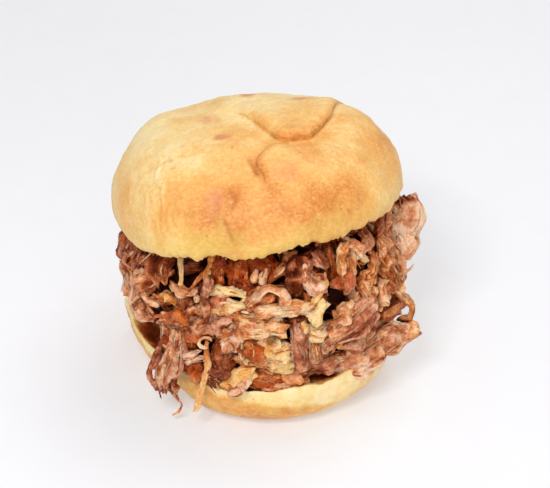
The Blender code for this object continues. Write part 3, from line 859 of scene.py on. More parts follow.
def porkMaterial(name, pinkStops, tanStops, rough, see, wet):
    # slow-cooked pork shoulder, pulled along its grain: fibrous and moist, rosy inside, tan to russet
    # where it browned
    material, tree, shader = newMaterial(name)
    add = partial(addNode, tree)
    place = add("TexCoord", output="Object")
    grain = add("Attribute", attribute_name="fibre", output="Vector")
    tone, warm, sauce, hollow, deep = [add("Attribute", attribute_name=key, output="Fac")
                                       for key in ("tone", "warm", "sauce", "hollow", "deep")]
    # the grain runs along the piece, so the noise is stretched ten times that way, and dark seams follow it
    stretch = add("VectorMath", grain, (0.10, 1.0, 7.3), operation="MULTIPLY")
    threads = add("TexNoise", stretch, 1.3, 3, 0.6)
    patches = add("TexNoise", place, perMm(4.0), 3, 0.55)
    specks = add("TexNoise", place, perMm(0.9), 3, 0.6)
    bundles = add("TexNoise", stretch, 0.55, 2, 0.5)
    seam = add("Math", add("Math", bundles, 0.5, operation="SUBTRACT"), operation="ABSOLUTE")
    seam = add("Math", seam, -16.0, 1.0, operation="MULTIPLY_ADD", use_clamp=True)
    seam = add("Math", seam, add("Math", specks, 3.0, -1.0, operation="MULTIPLY_ADD", use_clamp=True),
               operation="MULTIPLY")
    # hollow and deep darken the meat: painted shade in the grooves, on the undersides and down in the gaps
    level = tone
    for pattern, share in ((threads, 0.32), (specks, 0.52), (seam, 0.05), (hollow, 0.40), (patches, 0.62),
                           (deep, 0.58)):
        level = add("Math", pattern, share, level, operation="MULTIPLY_ADD")
    level = add("Math", level, 0.75, operation="SUBTRACT", use_clamp=True)
    mixed = add("Math", add("TexNoise", place, perMm(6), 3), 1.4,
                add("Math", warm, 0.7, operation="SUBTRACT"), operation="MULTIPLY_ADD", use_clamp=True)
    meat = add("Mix", mixed, add("ValToRGB", level, stops=pinkStops), add("ValToRGB", level, stops=tanStops),
               data_type="RGBA")
    # sauce lies thick in the hollows and thin on the ridges
    coat = add("Math", add("TexNoise", place, perMm(2.2), 3), 1.8,
               add("Math", sauce, 1.0, operation="SUBTRACT"), operation="MULTIPLY_ADD", use_clamp=True)
    for low in (hollow, deep):
        coat = add("Math", low, 0.3, coat, operation="MULTIPLY_ADD")
    coat = add("Math", coat, add("Math", sauce, 4.0, operation="MULTIPLY", use_clamp=True),
               operation="MULTIPLY")
    coat = add("Math", coat, 1.0, operation="MULTIPLY", use_clamp=True)
    glaze = add("ValToRGB", coat, stops=((0.0, "#f4943a"), (0.45, "#e0641c"), (0.8, "#a63a0a"),
                                         (1.0, "#561a04")))
    colour = add("Mix", add("Math", coat, 0.9, operation="MULTIPLY"), meat, glaze, data_type="RGBA")
    # the film of fat and juice glistens on what stands out, and not down in the gaps
    film = 1.0
    for dull, share in ((hollow, -0.7), (deep, -0.7), (level, -0.8)):
        film = add("Math", dull, share, film, operation="MULTIPLY_ADD", use_clamp=True)
    drops = add("Math", add("TexNoise", place, perMm(1.6), 2), 6.0, -2.3, operation="MULTIPLY_ADD",
                use_clamp=True)
    film = add("Math", film, drops, operation="MULTIPLY")
    height = add("Math", threads, 0.38, add("Math", specks, 0.9, operation="MULTIPLY"),
                 operation="MULTIPLY_ADD")
    height = add("Math", seam, -0.22, height, operation="MULTIPLY_ADD")
    bump = add("Bump", 1.0, 1.4 * mm, None, height)
    gloss = add("Math", patches, 0.35, rough, operation="MULTIPLY_ADD")
    setInputs(tree, shader, {
        "Base Color": colour, "Normal": bump,
        "Roughness": add("Math", coat, -0.10, gloss, operation="MULTIPLY_ADD"),
        "IOR": 1.42, "Specular IOR Level": 0.12,
        "Subsurface Weight": see, "Subsurface Radius": (1.0, 0.50, 0.30), "Subsurface Scale": 1.5 * mm,
        "Coat Weight": add("Math", film, wet, operation="MULTIPLY"), "Coat Roughness": 0.10,
        "Coat Normal": bump})
    return material


def herbMaterial():
    # parsley leaf wilted in hot juice: dull olive green, a little shiny, with paler veins
    material, tree, shader = newMaterial("wiltedHerb")
    add = partial(addNode, tree)
    place = add("TexCoord", output="Object")
    leaf = add("ValToRGB", add("TexNoise", place, perMm(0.8), 3),
               stops=((0.3, "#4c5a24"), (0.5, "#7f8a42"), (0.7, "#b4b06a")))
    bump = add("Bump", 0.5, 0.4 * mm, None, add("TexNoise", place, perMm(0.5), 3))
    setInputs(tree, shader, {"Base Color": leaf, "Normal": bump, "Roughness": 0.4, "IOR": 1.4})
    return material


leanPork = porkMaterial(
    "pulledPorkLean",
    ((0.0, "#f8caaa"), (0.2, "#de9a76"), (0.42, "#ae603e"), (0.68, "#702c0e"), (1.0, "#240700")),
    ((0.0, "#ffce9c"), (0.2, "#ea9a56"), (0.42, "#be6026"), (0.68, "#7c2e06"), (1.0, "#280800")),
    0.26, 0.38, 1.0)
fatPork = porkMaterial(
    "renderedPorkFat",
    ((0.0, "#ffdcae"), (0.3, "#fcbb80"), (0.6, "#d87e40"), (1.0, "#6a2404")),
    ((0.0, "#ffd894"), (0.3, "#fcb864"), (0.6, "#de8030"), (1.0, "#6e2802")), 0.26, 0.25, 1.0)
saucePork = porkMaterial(
    "barbecueSauceOnPork",
    ((0.0, "#d06a24"), (0.3, "#9c3a0a"), (0.6, "#641e02"), (1.0, "#2a0900")),
    ((0.0, "#d46c22"), (0.3, "#9e3a08"), (0.6, "#621c02"), (1.0, "#280800")), 0.12, 0.2, 1.0)


# mm from one loose bundle of fibres to the next, on the kinds that have them
ribSpacing = {"porkSlabs": 1.6, "porkFat": 2.2, "porkFlakes": 3.5}


def at(*places):
    return [heapPlace(*place) for place in places]


def lay(kind, places, width, thick, **extra):
    # a piece laid on the heap: its places are (direction, height, mm proud of the outline)
    middle = places[len(places) // 2]
    face = unit(heapOut(middle[0]) + np.array([0, 0, 0.45]))
    extra.setdefault("ribs", int(width / ribSpacing[kind]) if kind in ribSpacing else 0)
    shred(kind, at(*places), width, thick, face, **extra)


def put(kind, places, width, thick, face=None, **extra):
    # a piece through these points, in mm, looking away from the middle of the heap unless told otherwise
    if face is None:
        middle = np.array(places[len(places) // 2], float)
        face = unit(unit((middle - [*heapAxis, middle[2]])) + np.array([0, 0, 0.45]))
    shred(kind, [np.array(place, float) for place in places], width, thick, face, **extra)


# The pieces that catch the eye from the front, laid one by one. Each row says how it is laid, its kind, width
# and thickness in mm, tone (0 pale, 1 dark), warmth (0 rosy, 1 tan), places, and what else sets it apart.
leftPieces = (
    (lay, "porkChunks", 8, 7, 0.42, 0.25, ((185, 66, -3), (186, 56, -2), (187, 45, -3))),
    (lay, "porkChunks", 8, 7, 0.50, 0.3, ((197, 66, -2), (198, 57, -1), (198, 47, -3))),
    (lay, "porkChunks", 9, 6, 0.26, 0.3, ((187, 46, -1), (191, 42, 1), (196, 39, -1))),
    (lay, "porkFlakes", 10, 6, 0.42, 0.6, ((212, 68, 0), (213, 62, 3), (215, 56, 1)),
     dict(cup=0.3, ribs=0)),
    (lay, "porkStrands", 2.6, 1.8, 0.12, 0.3, ((205, 56, 2), (212, 50, 4), (219, 47, 3))),
    (lay, "porkChunks", 8, 6, 0.24, 0.45, ((204, 49, 0), (208, 53, 2), (213, 57, 0))),
    (lay, "porkFat", 2.4, 1.4, 0.05, 0.8, ((222, 70, 2), (225, 65, 2), (229, 59, 3)),
     dict(taper=(1.0, 0.5))),
    (lay, "porkFlakes", 4, 2, 0.15, 0.6, ((221, 57, 1), (230, 58, 3), (237, 60, 2))),
    (lay, "porkChunks", 5, 4, 0.5, 0.1, ((228, 57, 0), (232, 54, 1), (235, 50, 0))),
    (lay, "porkFat", 3, 1.8, 0.4, 1.0, ((240, 74, 1), (240, 69, 2), (240, 63, 2)), dict(taper=(1.0, 0.6))),
    (lay, "porkFlakes", 4.6, 2, 0.16, 0.2, ((196, 46, 1), (205, 40, 3), (218, 41, 3)),
     dict(taper=(0.3, 0.5), ribs=2)),
    (lay, "porkFat", 4.0, 2.6, 0.3, 0.9, ((214, 50, 0), (220, 51, 2), (226, 49, 1))),
    (lay, "porkSlabs", 8, 5, 0.0, 1.0, ((220, 41, 1), (231, 45.5, 3), (243, 50, 2)), dict(sauce=0.72)),
    (lay, "porkFlakes", 3.2, 2.2, 0.05, 1.0, ((230, 48, 2), (237, 47, 4), (245, 44, 1)), dict(sauce=0.55)),
    (put, "porkSlabs", 3.2, 2.4, 0.08, 1.0,
     ((-20, -42.6, 69), (-22, -44.4, 62), (-21.2, -45.6, 54.5), (-24, -45.8, 50)), dict(sauce=0.75)),
    (lay, "porkSauce", 4.4, 3, 0.05, 0.5, ((223, 44, 2), (230, 47.5, 4), (237, 48, 4))),
    (lay, "porkSauce", 3.2, 2.4, 0.15, 0.5, ((232, 43.5, 3), (238, 43, 4), (243, 45, 3))),
    (lay, "porkSauce", 12, 6, 0.35, 0.5, ((226, 41, -2), (233, 40, -1), (238, 38, -2))),
    (lay, "porkSauce", 6, 4, 0.7, 0.5, ((198, 43, -8), (205, 41, -7), (211, 38, -7))),
    (lay, "porkBits", 3.5, 2.5, 0.3, 0.6, ((208, 44, -1), (211, 42, 0), (214, 40, -1))),
    (lay, "porkStrands", 1.4, 1.2, 0.05, 0.8, ((206, 51, 2), (211, 47, 3), (217, 43, 3))),
    (lay, "herbLeaf", 2.6, 0.8, 0.3, 0.5, ((195, 33, -2), (197, 35, -1), (198, 37, -2))),
)
sauceBands = (
    (lay, "porkSauce", 12, 6, 0.68, 0.5, ((241, 71, -4), (250, 69, -3.5), (260, 68, -4)), dict(sauce=0.8)),
    (lay, "porkSauce", 11, 6, 0.70, 0.5, ((258, 69, -4), (267, 69, -3.5), (277, 72, -4)), dict(sauce=0.8)),
)
middlePieces = (
    (lay, "porkSlabs", 2.6, 2.2, 0.3, 1.0, ((246, 74, 0), (247, 69, 1), (248, 62, 1)), dict(sauce=0.8)),
    (lay, "porkSlabs", 2.4, 2, 0.4, 1.0, ((255, 73, 0), (256, 69, 2), (254, 63, 1)), dict(sauce=0.9)),
    (lay, "porkStrands", 1.8, 1.4, 0.3, 1.0, ((259, 72, 1), (261, 68, 2), (260, 64, 1)), dict(sauce=0.7)),
    (lay, "porkSlabs", 2.8, 2, 0.4, 1.0, ((273, 75, 0), (271, 71, 1), (270, 67, 1)), dict(sauce=0.8)),
    (lay, "porkSauce", 6, 3, 0.50, 0.5, ((240, 66, -1), (243, 60, 0), (246, 55, -1))),
    (lay, "porkSauce", 4, 3, 0.35, 0.5, ((256, 66, 0), (263, 65, 1), (269, 66, 0))),
    (lay, "porkFlakes", 4.2, 1.8, 0.35, 0.8, ((271, 67, 1), (278, 71, 3), (286, 77, 1)),
     dict(roll=30, taper=(0.9, 0.4))),
    (lay, "porkFlakes", 2.4, 1.4, 0.15, 0.8, ((263, 67, 1), (265, 69, 3), (267, 72, 1))),
    (lay, "porkFlakes", 2.0, 1.4, 0.15, 0.7, ((267, 66, 2), (269, 68, 3), (270, 72, 1))),
    (lay, "porkFat", 5, 2.5, 0.05, 0.70, ((240, 60, 1), (250, 63, 3), (262, 63, 2)), dict(frays=2)),
    (lay, "porkFat", 6.5, 3, 0.05, 0.65, ((240, 55, 1), (250, 57, 3), (261, 59, 2)), dict(frays=2)),
    (lay, "porkChunks", 7, 5, 0.36, 0.2, ((241, 51, 0), (248, 50, 2), (256, 52, 1))),
    (put, "porkFlakes", 3.6, 1.8, 0.20, 0.5,
     ((-3.6, -46, 58.5), (-2.4, -46.2, 64), (1.8, -46.2, 68.2), (6.3, -46.8, 66.2), (8.9, -47.8, 60.5)),
     dict(ribs=1)),
    (put, "porkChunks", 7.5, 5, 0.36, 0.7, ((-7.5, -45, 55.5), (-2.5, -45.2, 60), (3.5, -44.2, 64))),
    (lay, "porkSlabs", 4, 3, 0.35, 0.6, ((258, 54, 1), (268, 54, 2), (278, 54, 1))),
    (put, "porkFlakes", 6.2, 2.4, 0.12, 0.9,
     ((-2, -47.8, 57.6), (6, -48.6, 58.8), (14, -47.8, 59.2), (19, -46.2, 58.4)), dict(frays=2, ribs=1)),
    (put, "porkChunks", 9, 5, 0.60, 0.3, ((12, -40.5, 76), (13.5, -41.5, 70), (13, -43, 64))),
    (put, "porkFlakes", 3.6, 2.4, 0.20, 0.15,
     ((15.2, -42, 74.5), (15.8, -43.6, 70), (18, -44.6, 66.8), (21.8, -44, 66.6)), dict(ribs=1)),
    (put, "porkChunks", 5.5, 4, 0.34, 0.0, ((19.2, -37.5, 78), (22, -39.4, 75), (23.5, -40.8, 71))),
    (lay, "porkStrands", 1.2, 1.0, 0.1, 0.2, ((298, 71, 3), (297, 69, 4), (297, 65, 3))),
    (put, "porkFat", 3, 1.4, 0.28, 1.0, ((19, -45.6, 61.2), (21.2, -45, 65), (23.6, -43.6, 68.6))),
    (put, "porkFat", 5.4, 1.6, 0.10, 0.9, ((17.6, -48, 52.6), (20, -47, 57), (23, -45.8, 61.4))),
    (put, "porkFlakes", 7.4, 1.8, 0.14, 0.0, ((-8.4, -46.2, 52.4), (-10.2, -47.8, 46), (-13.4, -49.4, 39)),
     dict(cup=-0.03, wave=0.15, ribs=0, taper=(0.9, 0.6))),
    (lay, "porkFlakes", 4.5, 2.4, 0.2, 0.6, ((248, 44, 1), (252, 47, 3), (257, 49, 3))),
    (lay, "porkChunks", 7, 6, 0.65, 0.4, ((249, 43, 0), (249, 34, 1), (247, 22, 0)), dict(sauce=0.35)),
    (put, "porkChunks", 9, 6, 0.60, 0.3, ((-21, -42, 28), (-17, -43.5, 26), (-13.5, -44.5, 24.5))),
    (put, "porkFat", 8, 1.8, 0.28, 0.9, ((-3.4, -46.8, 30), (-9, -49, 26.8), (-14.6, -50.4, 22.6)),
     dict(wave=1.2)),
    (put, "porkFlakes", 4.8, 1.6, 0.16, 0.3, ((-4.8, -49, 28.8), (-8.5, -50.8, 25), (-11.8, -52.4, 20.4))),
    (put, "porkChunks", 3.2, 2.6, 0.25, 0.4, ((-12.6, -52, 21.4), (-9.6, -52, 23), (-7.4, -50.5, 24.6))),
    (put, "porkSlabs", 7.5, 4, 0.20, 0.85, ((-8, -47.5, 52.6), (0, -48.5, 51.8), (7.5, -47.8, 50.8)),
     dict(ribs=3)),
    (lay, "porkChunks", 7, 5, 0.5, 1.0, ((262, 47, 0), (263, 40, 2), (262, 33, 0)), dict(sauce=0.35)),
    (lay, "porkFat", 8, 2, 0.12, 0.8, ((268, 42, 1), (275, 40, 3), (284, 38, 2)), dict(wave=2.2)),
    (lay, "porkFat", 8, 1.8, 0.18, 0.9, ((262, 37, 1), (272, 34, 4), (281, 33, 3)), dict(wave=2.4)),
    (lay, "porkFlakes", 5, 2.4, 0.35, 1.0, ((258, 34, 1), (265, 35, 3), (271, 38, 2)), dict(sauce=0.25)),
    (lay, "porkStrands", 2.2, 1.5, 0.0, 0.8, ((280, 33, 3), (282, 28, 3), (286, 23, 4))),
    (lay, "porkStrands", 1.8, 1.4, 0.0, 0.8, ((277, 33, 3), (279, 28, 3), (280, 23, 4))),
    (lay, "porkFlakes", 7, 4, 0.38, 0.15, ((284, 53, 1), (284, 43, 4), (285, 35, 4), (287, 26, 3)),
     dict(cup=0.3, roll=-15, frays=2)),
    (lay, "porkFat", 4, 2.2, 0.1, 0.8, ((286, 52, 2), (287, 49, 4), (286, 45, 3))),
    (lay, "porkFat", 6.5, 4, 0.1, 0.7, ((288, 47, 1), (292, 46, 3), (297, 45, 1))),
    (lay, "porkSlabs", 7, 5, 0.30, 0.7, ((291, 44, 0), (293, 35, 2), (296, 27, 0))),
    (lay, "porkFlakes", 3.6, 2.4, 0.25, 0.3, ((297, 44, 1), (298, 36, 3), (301, 27, 1))),
    (lay, "porkStrands", 2.2, 1.6, 0.1, 0.5, ((290, 31, 3), (294, 27, 3), (298, 23, 3))),
    (lay, "porkFlakes", 4, 2.4, 0.30, 0.5, ((299, 28, 1), (305, 27, 2), (313, 26, 2))),
    (lay, "porkChunks", 5, 3.5, 0.5, 0.3, ((284, 25, 1), (288, 24, 2), (293, 24, 1)), dict(sauce=0.5)),
    (put, "porkSlabs", 6, 4, 0.50, 0.8, ((-4.5, -46.6, 26), (0, -47.4, 25), (5, -46.6, 25.4)),
     dict(sauce=0.6)),
    (put, "porkChunks", 8, 5, 0.42, 0.8, ((-3, -43.5, 27), (5, -44, 25), (13, -43, 26)), dict(sauce=0.3)),
    (put, "porkChunks", 7, 5, 0.42, 0.8, ((-22, -41, 24), (-27, -38.5, 24), (-31, -35.5, 24)),
     dict(sauce=0.3)),
    (put, "porkChunks", 6, 5, 0.42, 0.8, ((-21, -42, 22), (-11, -44.6, 21.5), (-1, -45.4, 21.5)),
     dict(sauce=0.35)),
    (put, "porkChunks", 6, 5, 0.36, 0.5, ((-1, -45.2, 21.5), (9, -45, 21.5), (18, -42.2, 22))),
    (put, "porkChunks", 6, 4.5, 0.52, 0.2, ((16, -43, 27), (21, -40.5, 26.5), (27, -36.5, 26))),
)
rightPieces = (
    (lay, "porkChunks", 8, 6, 0.30, 1.0, ((315, 62, 0), (317, 56, 2), (318, 50, 0))),
    (lay, "porkChunks", 7, 5, 0.28, 0.6, ((326, 58, 0), (328, 50, 2), (331, 43, 0))),
    (lay, "porkChunks", 6, 5, 0.34, 0.9, ((331, 59, 1), (335, 52, 3), (341, 45, 1)), dict(frays=1)),
    (lay, "porkChunks", 8, 6, 0.22, 0.6, ((348, 53, -4), (348, 47, -3), (347, 39, -3))),
    (lay, "porkSlabs", 6, 5, 0.5, 0.9, ((327, 39, 0), (337, 38, 2), (346, 36, 0))),
    (lay, "porkSlabs", 10, 6, 0.38, 0.35, ((296, 41, 1), (307, 46, 3), (319, 50, 2)), dict(frays=2)),
    (lay, "porkSlabs", 4.6, 4, 0.45, 0.2, ((305, 36, 1), (317, 37, 3), (330, 37, 2))),
    # the fan of meat that spreads over the heel, and the browned end of it
    (put, "porkSlabs", 14.0, 5, 0.21, 0.35,
     (*at((306, 21, 1), (316, 25, 3), (326, 27.5, 2)), (55.5, -22.5, 27.5), (59.5, -20.5, 27.3)),
     dict(taper=(0.8, 0.42), ribs=4, wave=0.2, face=unit(np.array((0.5, -1, 0.55))))),
    (put, "porkChunks", 4, 3.5, 0.30, 1.0, ((55.5, -22.5, 27.5), (60.0, -20.5, 27.6)),
     dict(face=heapOut(340))),
    (lay, "porkSlabs", 4.5, 3.5, 0.36, 0.4, ((309, 30, 2), (318, 33, 4), (329, 34, 3))),
    (put, "porkChunks", 5, 4, 0.26, 0.8, ((25.5, -42.2, 49.5), (29.5, -42.0, 53), (33.5, -40, 57)),
     dict(frays=1)),
    (put, "porkFlakes", 3.8, 2.4, 0.20, 1.0, ((29.6, -35.8, 80), (27.8, -38.8, 75.5), (28.8, -40.8, 70))),
    (put, "porkChunks", 5, 4, 0.55, 0.0, ((28.6, -39.8, 69.5), (29.2, -41, 66), (29, -41, 62.5)),
     dict(sauce=0.5)),
    (lay, "porkSlabs", 6, 5, 0.7, 0.6, ((308, 80, -1), (305, 73, 2), (303, 66, 0)), dict(sauce=0.4)),
    (lay, "porkSlabs", 5.5, 4, 0.36, 1.0, ((317, 82, -1), (313, 73, 2), (309, 63, 2))),
    (lay, "porkFat", 3.2, 1.8, 0.05, 0.6, ((311, 68, 2), (316, 72, 3), (321, 69, 2))),
    (put, "porkFlakes", 3.8, 2.0, 0.22, 0.5, ((30, -33.8, 79.5), (34.6, -36, 78.8), (37.2, -38, 75.4)),
     dict(frays=2)),
    (lay, "porkFlakes", 5, 2.6, 0.4, 0.9, ((327, 67, 1), (322, 63, 3), (315, 60, 2))),
    (lay, "porkChunks", 8.5, 6, 0.34, 0.7, ((345, 75, -2), (339, 69, 0), (333, 60, 1))),
    (lay, "porkChunks", 7, 6, 0.34, 1.0, ((333, 65, 1), (337, 56, 3), (341, 46, 1)), dict(frays=1)),
    (lay, "porkSlabs", 7.5, 4, 0.18, 0.25, ((357, 65, 2), (356, 61, 3), (354, 56, 2)),
     dict(cup=-0.04, ribs=0, wave=0.15)),
    (lay, "porkFlakes", 5, 3, 0.25, 0.8, ((351, 72, -2), (347, 70, 1), (341, 69, 0))),
    # the broad slab that stands up past the crown
    (put, "porkSlabs", 13.5, 3.2, 0.10, 0.30,
     ((54.6, 8.0, 69.8), (56.2, 3.5, 65.0), (53.0, -1.5, 58.5), (48.6, -8.5, 47.5)),
     dict(taper=(0.75, 0.6), wave=0.1, cup=0.0, ribs=0, face=unit(np.array((0.25, -1, 0.6))))),
    (lay, "porkChunks", 6, 5, 0.34, 0.6, ((352, 58, 0), (347, 53, 1), (343, 48, 0))),
    (put, "porkChunks", 7, 5, 0.45, 0.7, ((45, -10, 43), (50.0, -14.5, 38), (49.0, -17, 31))),
    (put, "porkChunks", 8, 5, 0.5, 0.7, ((44.5, -1, 73), (46, -4, 69.5), (45, -8, 65))),
    # what stands off at the right: a pale spur, and a curl that bends down to the fan's tip
    (put, "porkFat", 4.5, 2.4, 0.25, 0.4, ((50.0, -6.5, 38.5), (53.4, -5.5, 42.3), (55.8, -5.0, 45.0)),
     dict(frays=2, face=heapOut(330))),
    (put, "porkChunks", 4.6, 3.6, 0.40, 0.8, ((48.0, -12.5, 38.5), (51.8, -15.0, 36), (53.6, -16.8, 33.2))),
    (put, "porkFlakes", 4.0, 2.2, 0.30, 0.9,
     ((51.0, -14.5, 40.2), (54.6, -16.0, 39.2), (57.3, -17.4, 36.0), (57.0, -18.4, 32.3),
      (54.0, -18.5, 30.0)),
     dict(cup=0.3, face=unit(np.array((0.6, -1, 0.5))))),
)
# the strings of sauce: direction of the first, degrees between two, and the height where each one ends
sauceRuns = {"first": 241.5, "apart": 4.1, "lowest": (64, 61, 65, 62, 66, 63.5, 67, 65, 68)}
# the clump over the heel's edge: paths in mm
clump = {
    "face": heapOut(229),
    "body": ((-31.0, -36.5, 40), (-34.3, -40.5, 33), (-37.0, -42, 26), (-37.2, -42, 19), (-36.8, -42, 15)),
    # the ragged lower end: where each tip ends (across, height), tone, warmth
    "tips": ((-41.0, 16.5, 0.30, 0.2), (-39.6, 12.4, 0.26, 0.1), (-36.6, 17.0, 0.20, 0.3),
             (-34.6, 14.8, 0.45, 0.3), (-32.8, 11.0, 0.32, 0.2)),
    "tail": ((-36.9, -43, 16.9), (-33.8, -43, 11.4), (-31.9, -43, 8.6), (-33.3, -43.3, 4.9),
             (-35.9, -43.6, 3.4)),
    "string": ((-21.2, -42.0, 40.5), (-22.0, -43.6, 33.0), (-21.6, -44.8, 30.0), (-22.8, -46.0, 24.0),
               (-23.8, -47.4, 20.6), (-25.3, -48.6, 14.6), (-26.6, -49.0, 10.2)),
    # two pale slabs that cross behind the string: start, end, width
    "slabs": (((-32.2, -41.5, 31.0), (-23.7, -44.0, 36.8), 2.6),
              ((-30.4, -42.0, 28.6), (-22.6, -44.2, 33.0), 2.2)),
}


def layPieces(rows):
    for way, kind, width, thick, tone, warm, places, *others in rows:
        way(kind, places, width, thick, tone=tone, warm=warm, **(others[0] if others else {}))


def runningSauce():
    # sauce that runs down from under the crown in uneven strings
    for i, low in enumerate(sauceRuns["lowest"]):
        direction = sauceRuns["first"] + sauceRuns["apart"] * i + 0.9 * math.sin(4 * i)
        places = ((direction - 1.5, 76, -2), (direction + 0.8, 70, 1 - i % 2), (direction + 0.2, low, 0))
        lay("porkSauce", places, 3.4 - i % 3 * 0.5, 2.6, tone=0.50 + 0.07 * (i % 4), sauce=0.8)


def hangingClump():
    # a clump that slid off over the heel's edge, with its tips near the floor
    face = clump["face"]
    put("porkSlabs", clump["body"], 8.6, 6.5, face, tone=0.22, warm=0.32, taper=(0.8, 0.35), ribs=2)
    lay("porkChunks", ((225, 44, 0), (226, 39, 2), (227, 34, 3)), 8, 5, tone=0.18, warm=0.55)
    for i, (x, z, tone, warm) in enumerate(clump["tips"]):
        top = (-36.0 + (i - 2) * 1.7, -40.5, 34 - i % 3 * 2)
        middle = (-39.0 + (i - 2) * 2.0, -44.3, 25 - i % 2 * 2)
        put("porkSlabs", (top, middle, (x, -43.5, z)), 2.4, 1.8, face, tone=tone, warm=warm,
            taper=(0.9, 0.15))
    put("porkStrands", clump["tail"], 1.2, 0.9, face, tone=0.2, warm=0.4, taper=(1.0, 0.4))
    put("porkFat", clump["string"], 2.2, 1.3, heapOut(243), tone=0.30, warm=0.45, taper=(1.0, 0.6), wave=0.1)
    # a strand curled round in a loop where the string starts
    loop = [(243.5 + 2.4 * math.cos(angle), 40.5 + 2.0 * math.sin(angle), 2.6 + 0.35 * angle)
            for angle in np.linspace(0, 5.8, 9)]
    put("porkStrands", at(*loop), 1.6, 1.3, heapOut(243), tone=0.06, warm=0.8)
    for start, end, width in clump["slabs"]:
        middle = (np.array(start) + end) / 2 + [0, -0.8, 0.4]
        put("porkSlabs", (start, middle, end), width, 1.3, heapOut(236), tone=0.05, warm=0.15,
            taper=(0.2, 0.9), ribs=2, wave=0.3)


# The rest of the heap, all the way round. In mm: how far proud, how much that varies, the length of a piece
# and the step of its mesh. Then the share left out in front and behind, and how much larger those behind are.
layers = {
    "bed": {"count": 280, "proud": -4.6, "spread": 1.3, "length": 13, "leftOut": 0.0, "leftOutBehind": 0.0,
            "largerBehind": 1.0, "tone": 0.58, "step": 1.15, "ribs": 0, "slim": 0.85},
    "outer": {"count": 220, "proud": -0.3, "spread": 1.0, "length": 9, "leftOut": 0.90, "leftOutBehind": 0.0,
              "largerBehind": 1.5, "tone": 0.40, "step": 0.66, "ribs": 2, "slim": 0.9},
    "small": {"count": 420, "proud": 1.4, "spread": 1.0, "length": 5, "leftOut": 0.30, "leftOutBehind": 0.50,
              "largerBehind": 1.1, "tone": 0.34, "step": 0.52, "ribs": 0, "slim": 0.65},
}
layerKinds = {
    "bed": (("porkBed", 1.0),),
    "outer": (("porkChunks", 0.30), ("porkSlabs", 0.34), ("porkFlakes", 0.28), ("porkFat", 0.08)),
    "small": (("porkStrands", 0.40), ("porkBits", 0.38), ("porkFlakes", 0.17), ("porkFat", 0.05)),
}
# the width in mm, and the thickness as a share of it
usualWidth = {"porkBed": 9, "porkChunks": 8, "porkSlabs": 8, "porkFlakes": 7, "porkFat": 5,
              "porkStrands": 1.9, "porkBits": 3}
usualThick = {"porkBed": 0.7, "porkChunks": 0.75, "porkSlabs": 0.55, "porkFlakes": 0.4, "porkFat": 0.45,
              "porkStrands": 0.8, "porkBits": 0.7}
# directions and heights kept free of loose pieces: the clump, under the fan, the heel's left rim, the sauce,
# the big slab and the broad flake at the left
keptFree = ((212, 243, 0, 38), (314, 354, 0, 36), (180, 216, 0, 43), (242, 276, 60, 80), (344, 392, 44, 95),
            (206, 222, 52, 72))
# where the heel's edge shows and the shreds end higher up: mm, direction, spread
heelEdge = ((5, 228, 22), (9, 213, 13), (3.5, 335, 25), (4.5, 262, 34))


def heapTop(direction, reach=46):
    # the height where the sliced face of the crown rests on the meat
    out = heapOut(direction)
    return crown["sliceHeight"] + reach * (crown["sliceSlope"][0] * out[0] + crown["sliceSlope"][1] * out[1])


def inFreeZone(direction, height):
    return any(left <= direction <= right or left <= direction + 360 <= right
               for left, right, low, high in keptFree if low <= height <= high)


def scatteredShreds():
    random = np.random.default_rng(21)
    for layer, look in layers.items():
        names, shares = zip(*layerKinds[layer])
        for i in range(look["count"]):
            direction = (i * 0.7548777 * 360 + random.uniform(-6, 6)) % 360
            behind = abs(turnApart(direction, 275)) > 85
            if random.uniform() < look["leftOutBehind" if behind else "leftOut"]:
                continue
            lowest = 18 + 4 * math.cos(math.radians(direction))
            for rise, middle, spread in heelEdge:
                lowest += rise * bell(turnApart(direction, middle), spread)
            highest = heapTop(direction) + 0.5
            share = (i * 0.5698403 + random.uniform(-0.05, 0.05)) % 1
            height = lowest + share * (highest - lowest)
            free = inFreeZone(direction, height)
            if free and (layer != "bed" or height > 64 or height < 32 and 180 < direction < 230):
                continue
            lean = random.choice([random.normal(0, 25), random.normal(80, 30)])
            larger = look["largerBehind"] if behind else 1
            length = look["length"] * random.uniform(0.6, 1.5) * (1 - 0.4 * free) * larger
            rise = math.sin(math.radians(lean)) * length / 2
            swing = math.degrees(math.cos(math.radians(lean)) * length / 2 / 46)
            proud = look["proud"] + random.normal(0, look["spread"]) - 3 * free
            lift = random.normal(0, 1.4)
            ends = ((direction - swing, height - rise, proud - lift),
                    (direction, height, proud + random.uniform(0, 1.3)),
                    (direction + swing, height + rise, proud + lift))
            ends = [(d, min(max(h, lowest - 1), highest), p) for d, h, p in ends]
            kind = str(random.choice(names, p=shares))
            width = usualWidth[kind] * look["slim"] * random.uniform(0.6, 1.3) * larger ** 0.4
            face = unit(heapOut(direction) + np.array([0, 0, 0.45]) + random.normal(0, 0.35, 3))
            shred(kind, at(*ends), width, width * usualThick[kind], face,
                  tone=look["tone"] + random.normal(0, 0.20), warm=random.uniform(0.1, 1.0),
                  sauce=random.choice([0.0, 0.35, 0.7], p=[0.66, 0.26, 0.08]),
                  roll=random.normal(0, 20), twist=random.normal(0, 25), step=look["step"],
                  ribs=look["ribs"] if kind in ("porkSlabs", "porkFlakes") else 0)


layPieces(leftPieces + sauceBands)
runningSauce()
layPieces(middlePieces + rightPieces)
hangingClump()
scatteredShreds()

# mm2 of meat to each fibre, its length and radius in mm, and the share with a loose end
fibres = {"each": 25.0, "length": (3.0, 8.0), "radius": (0.17, 0.36), "loose": 0.3}


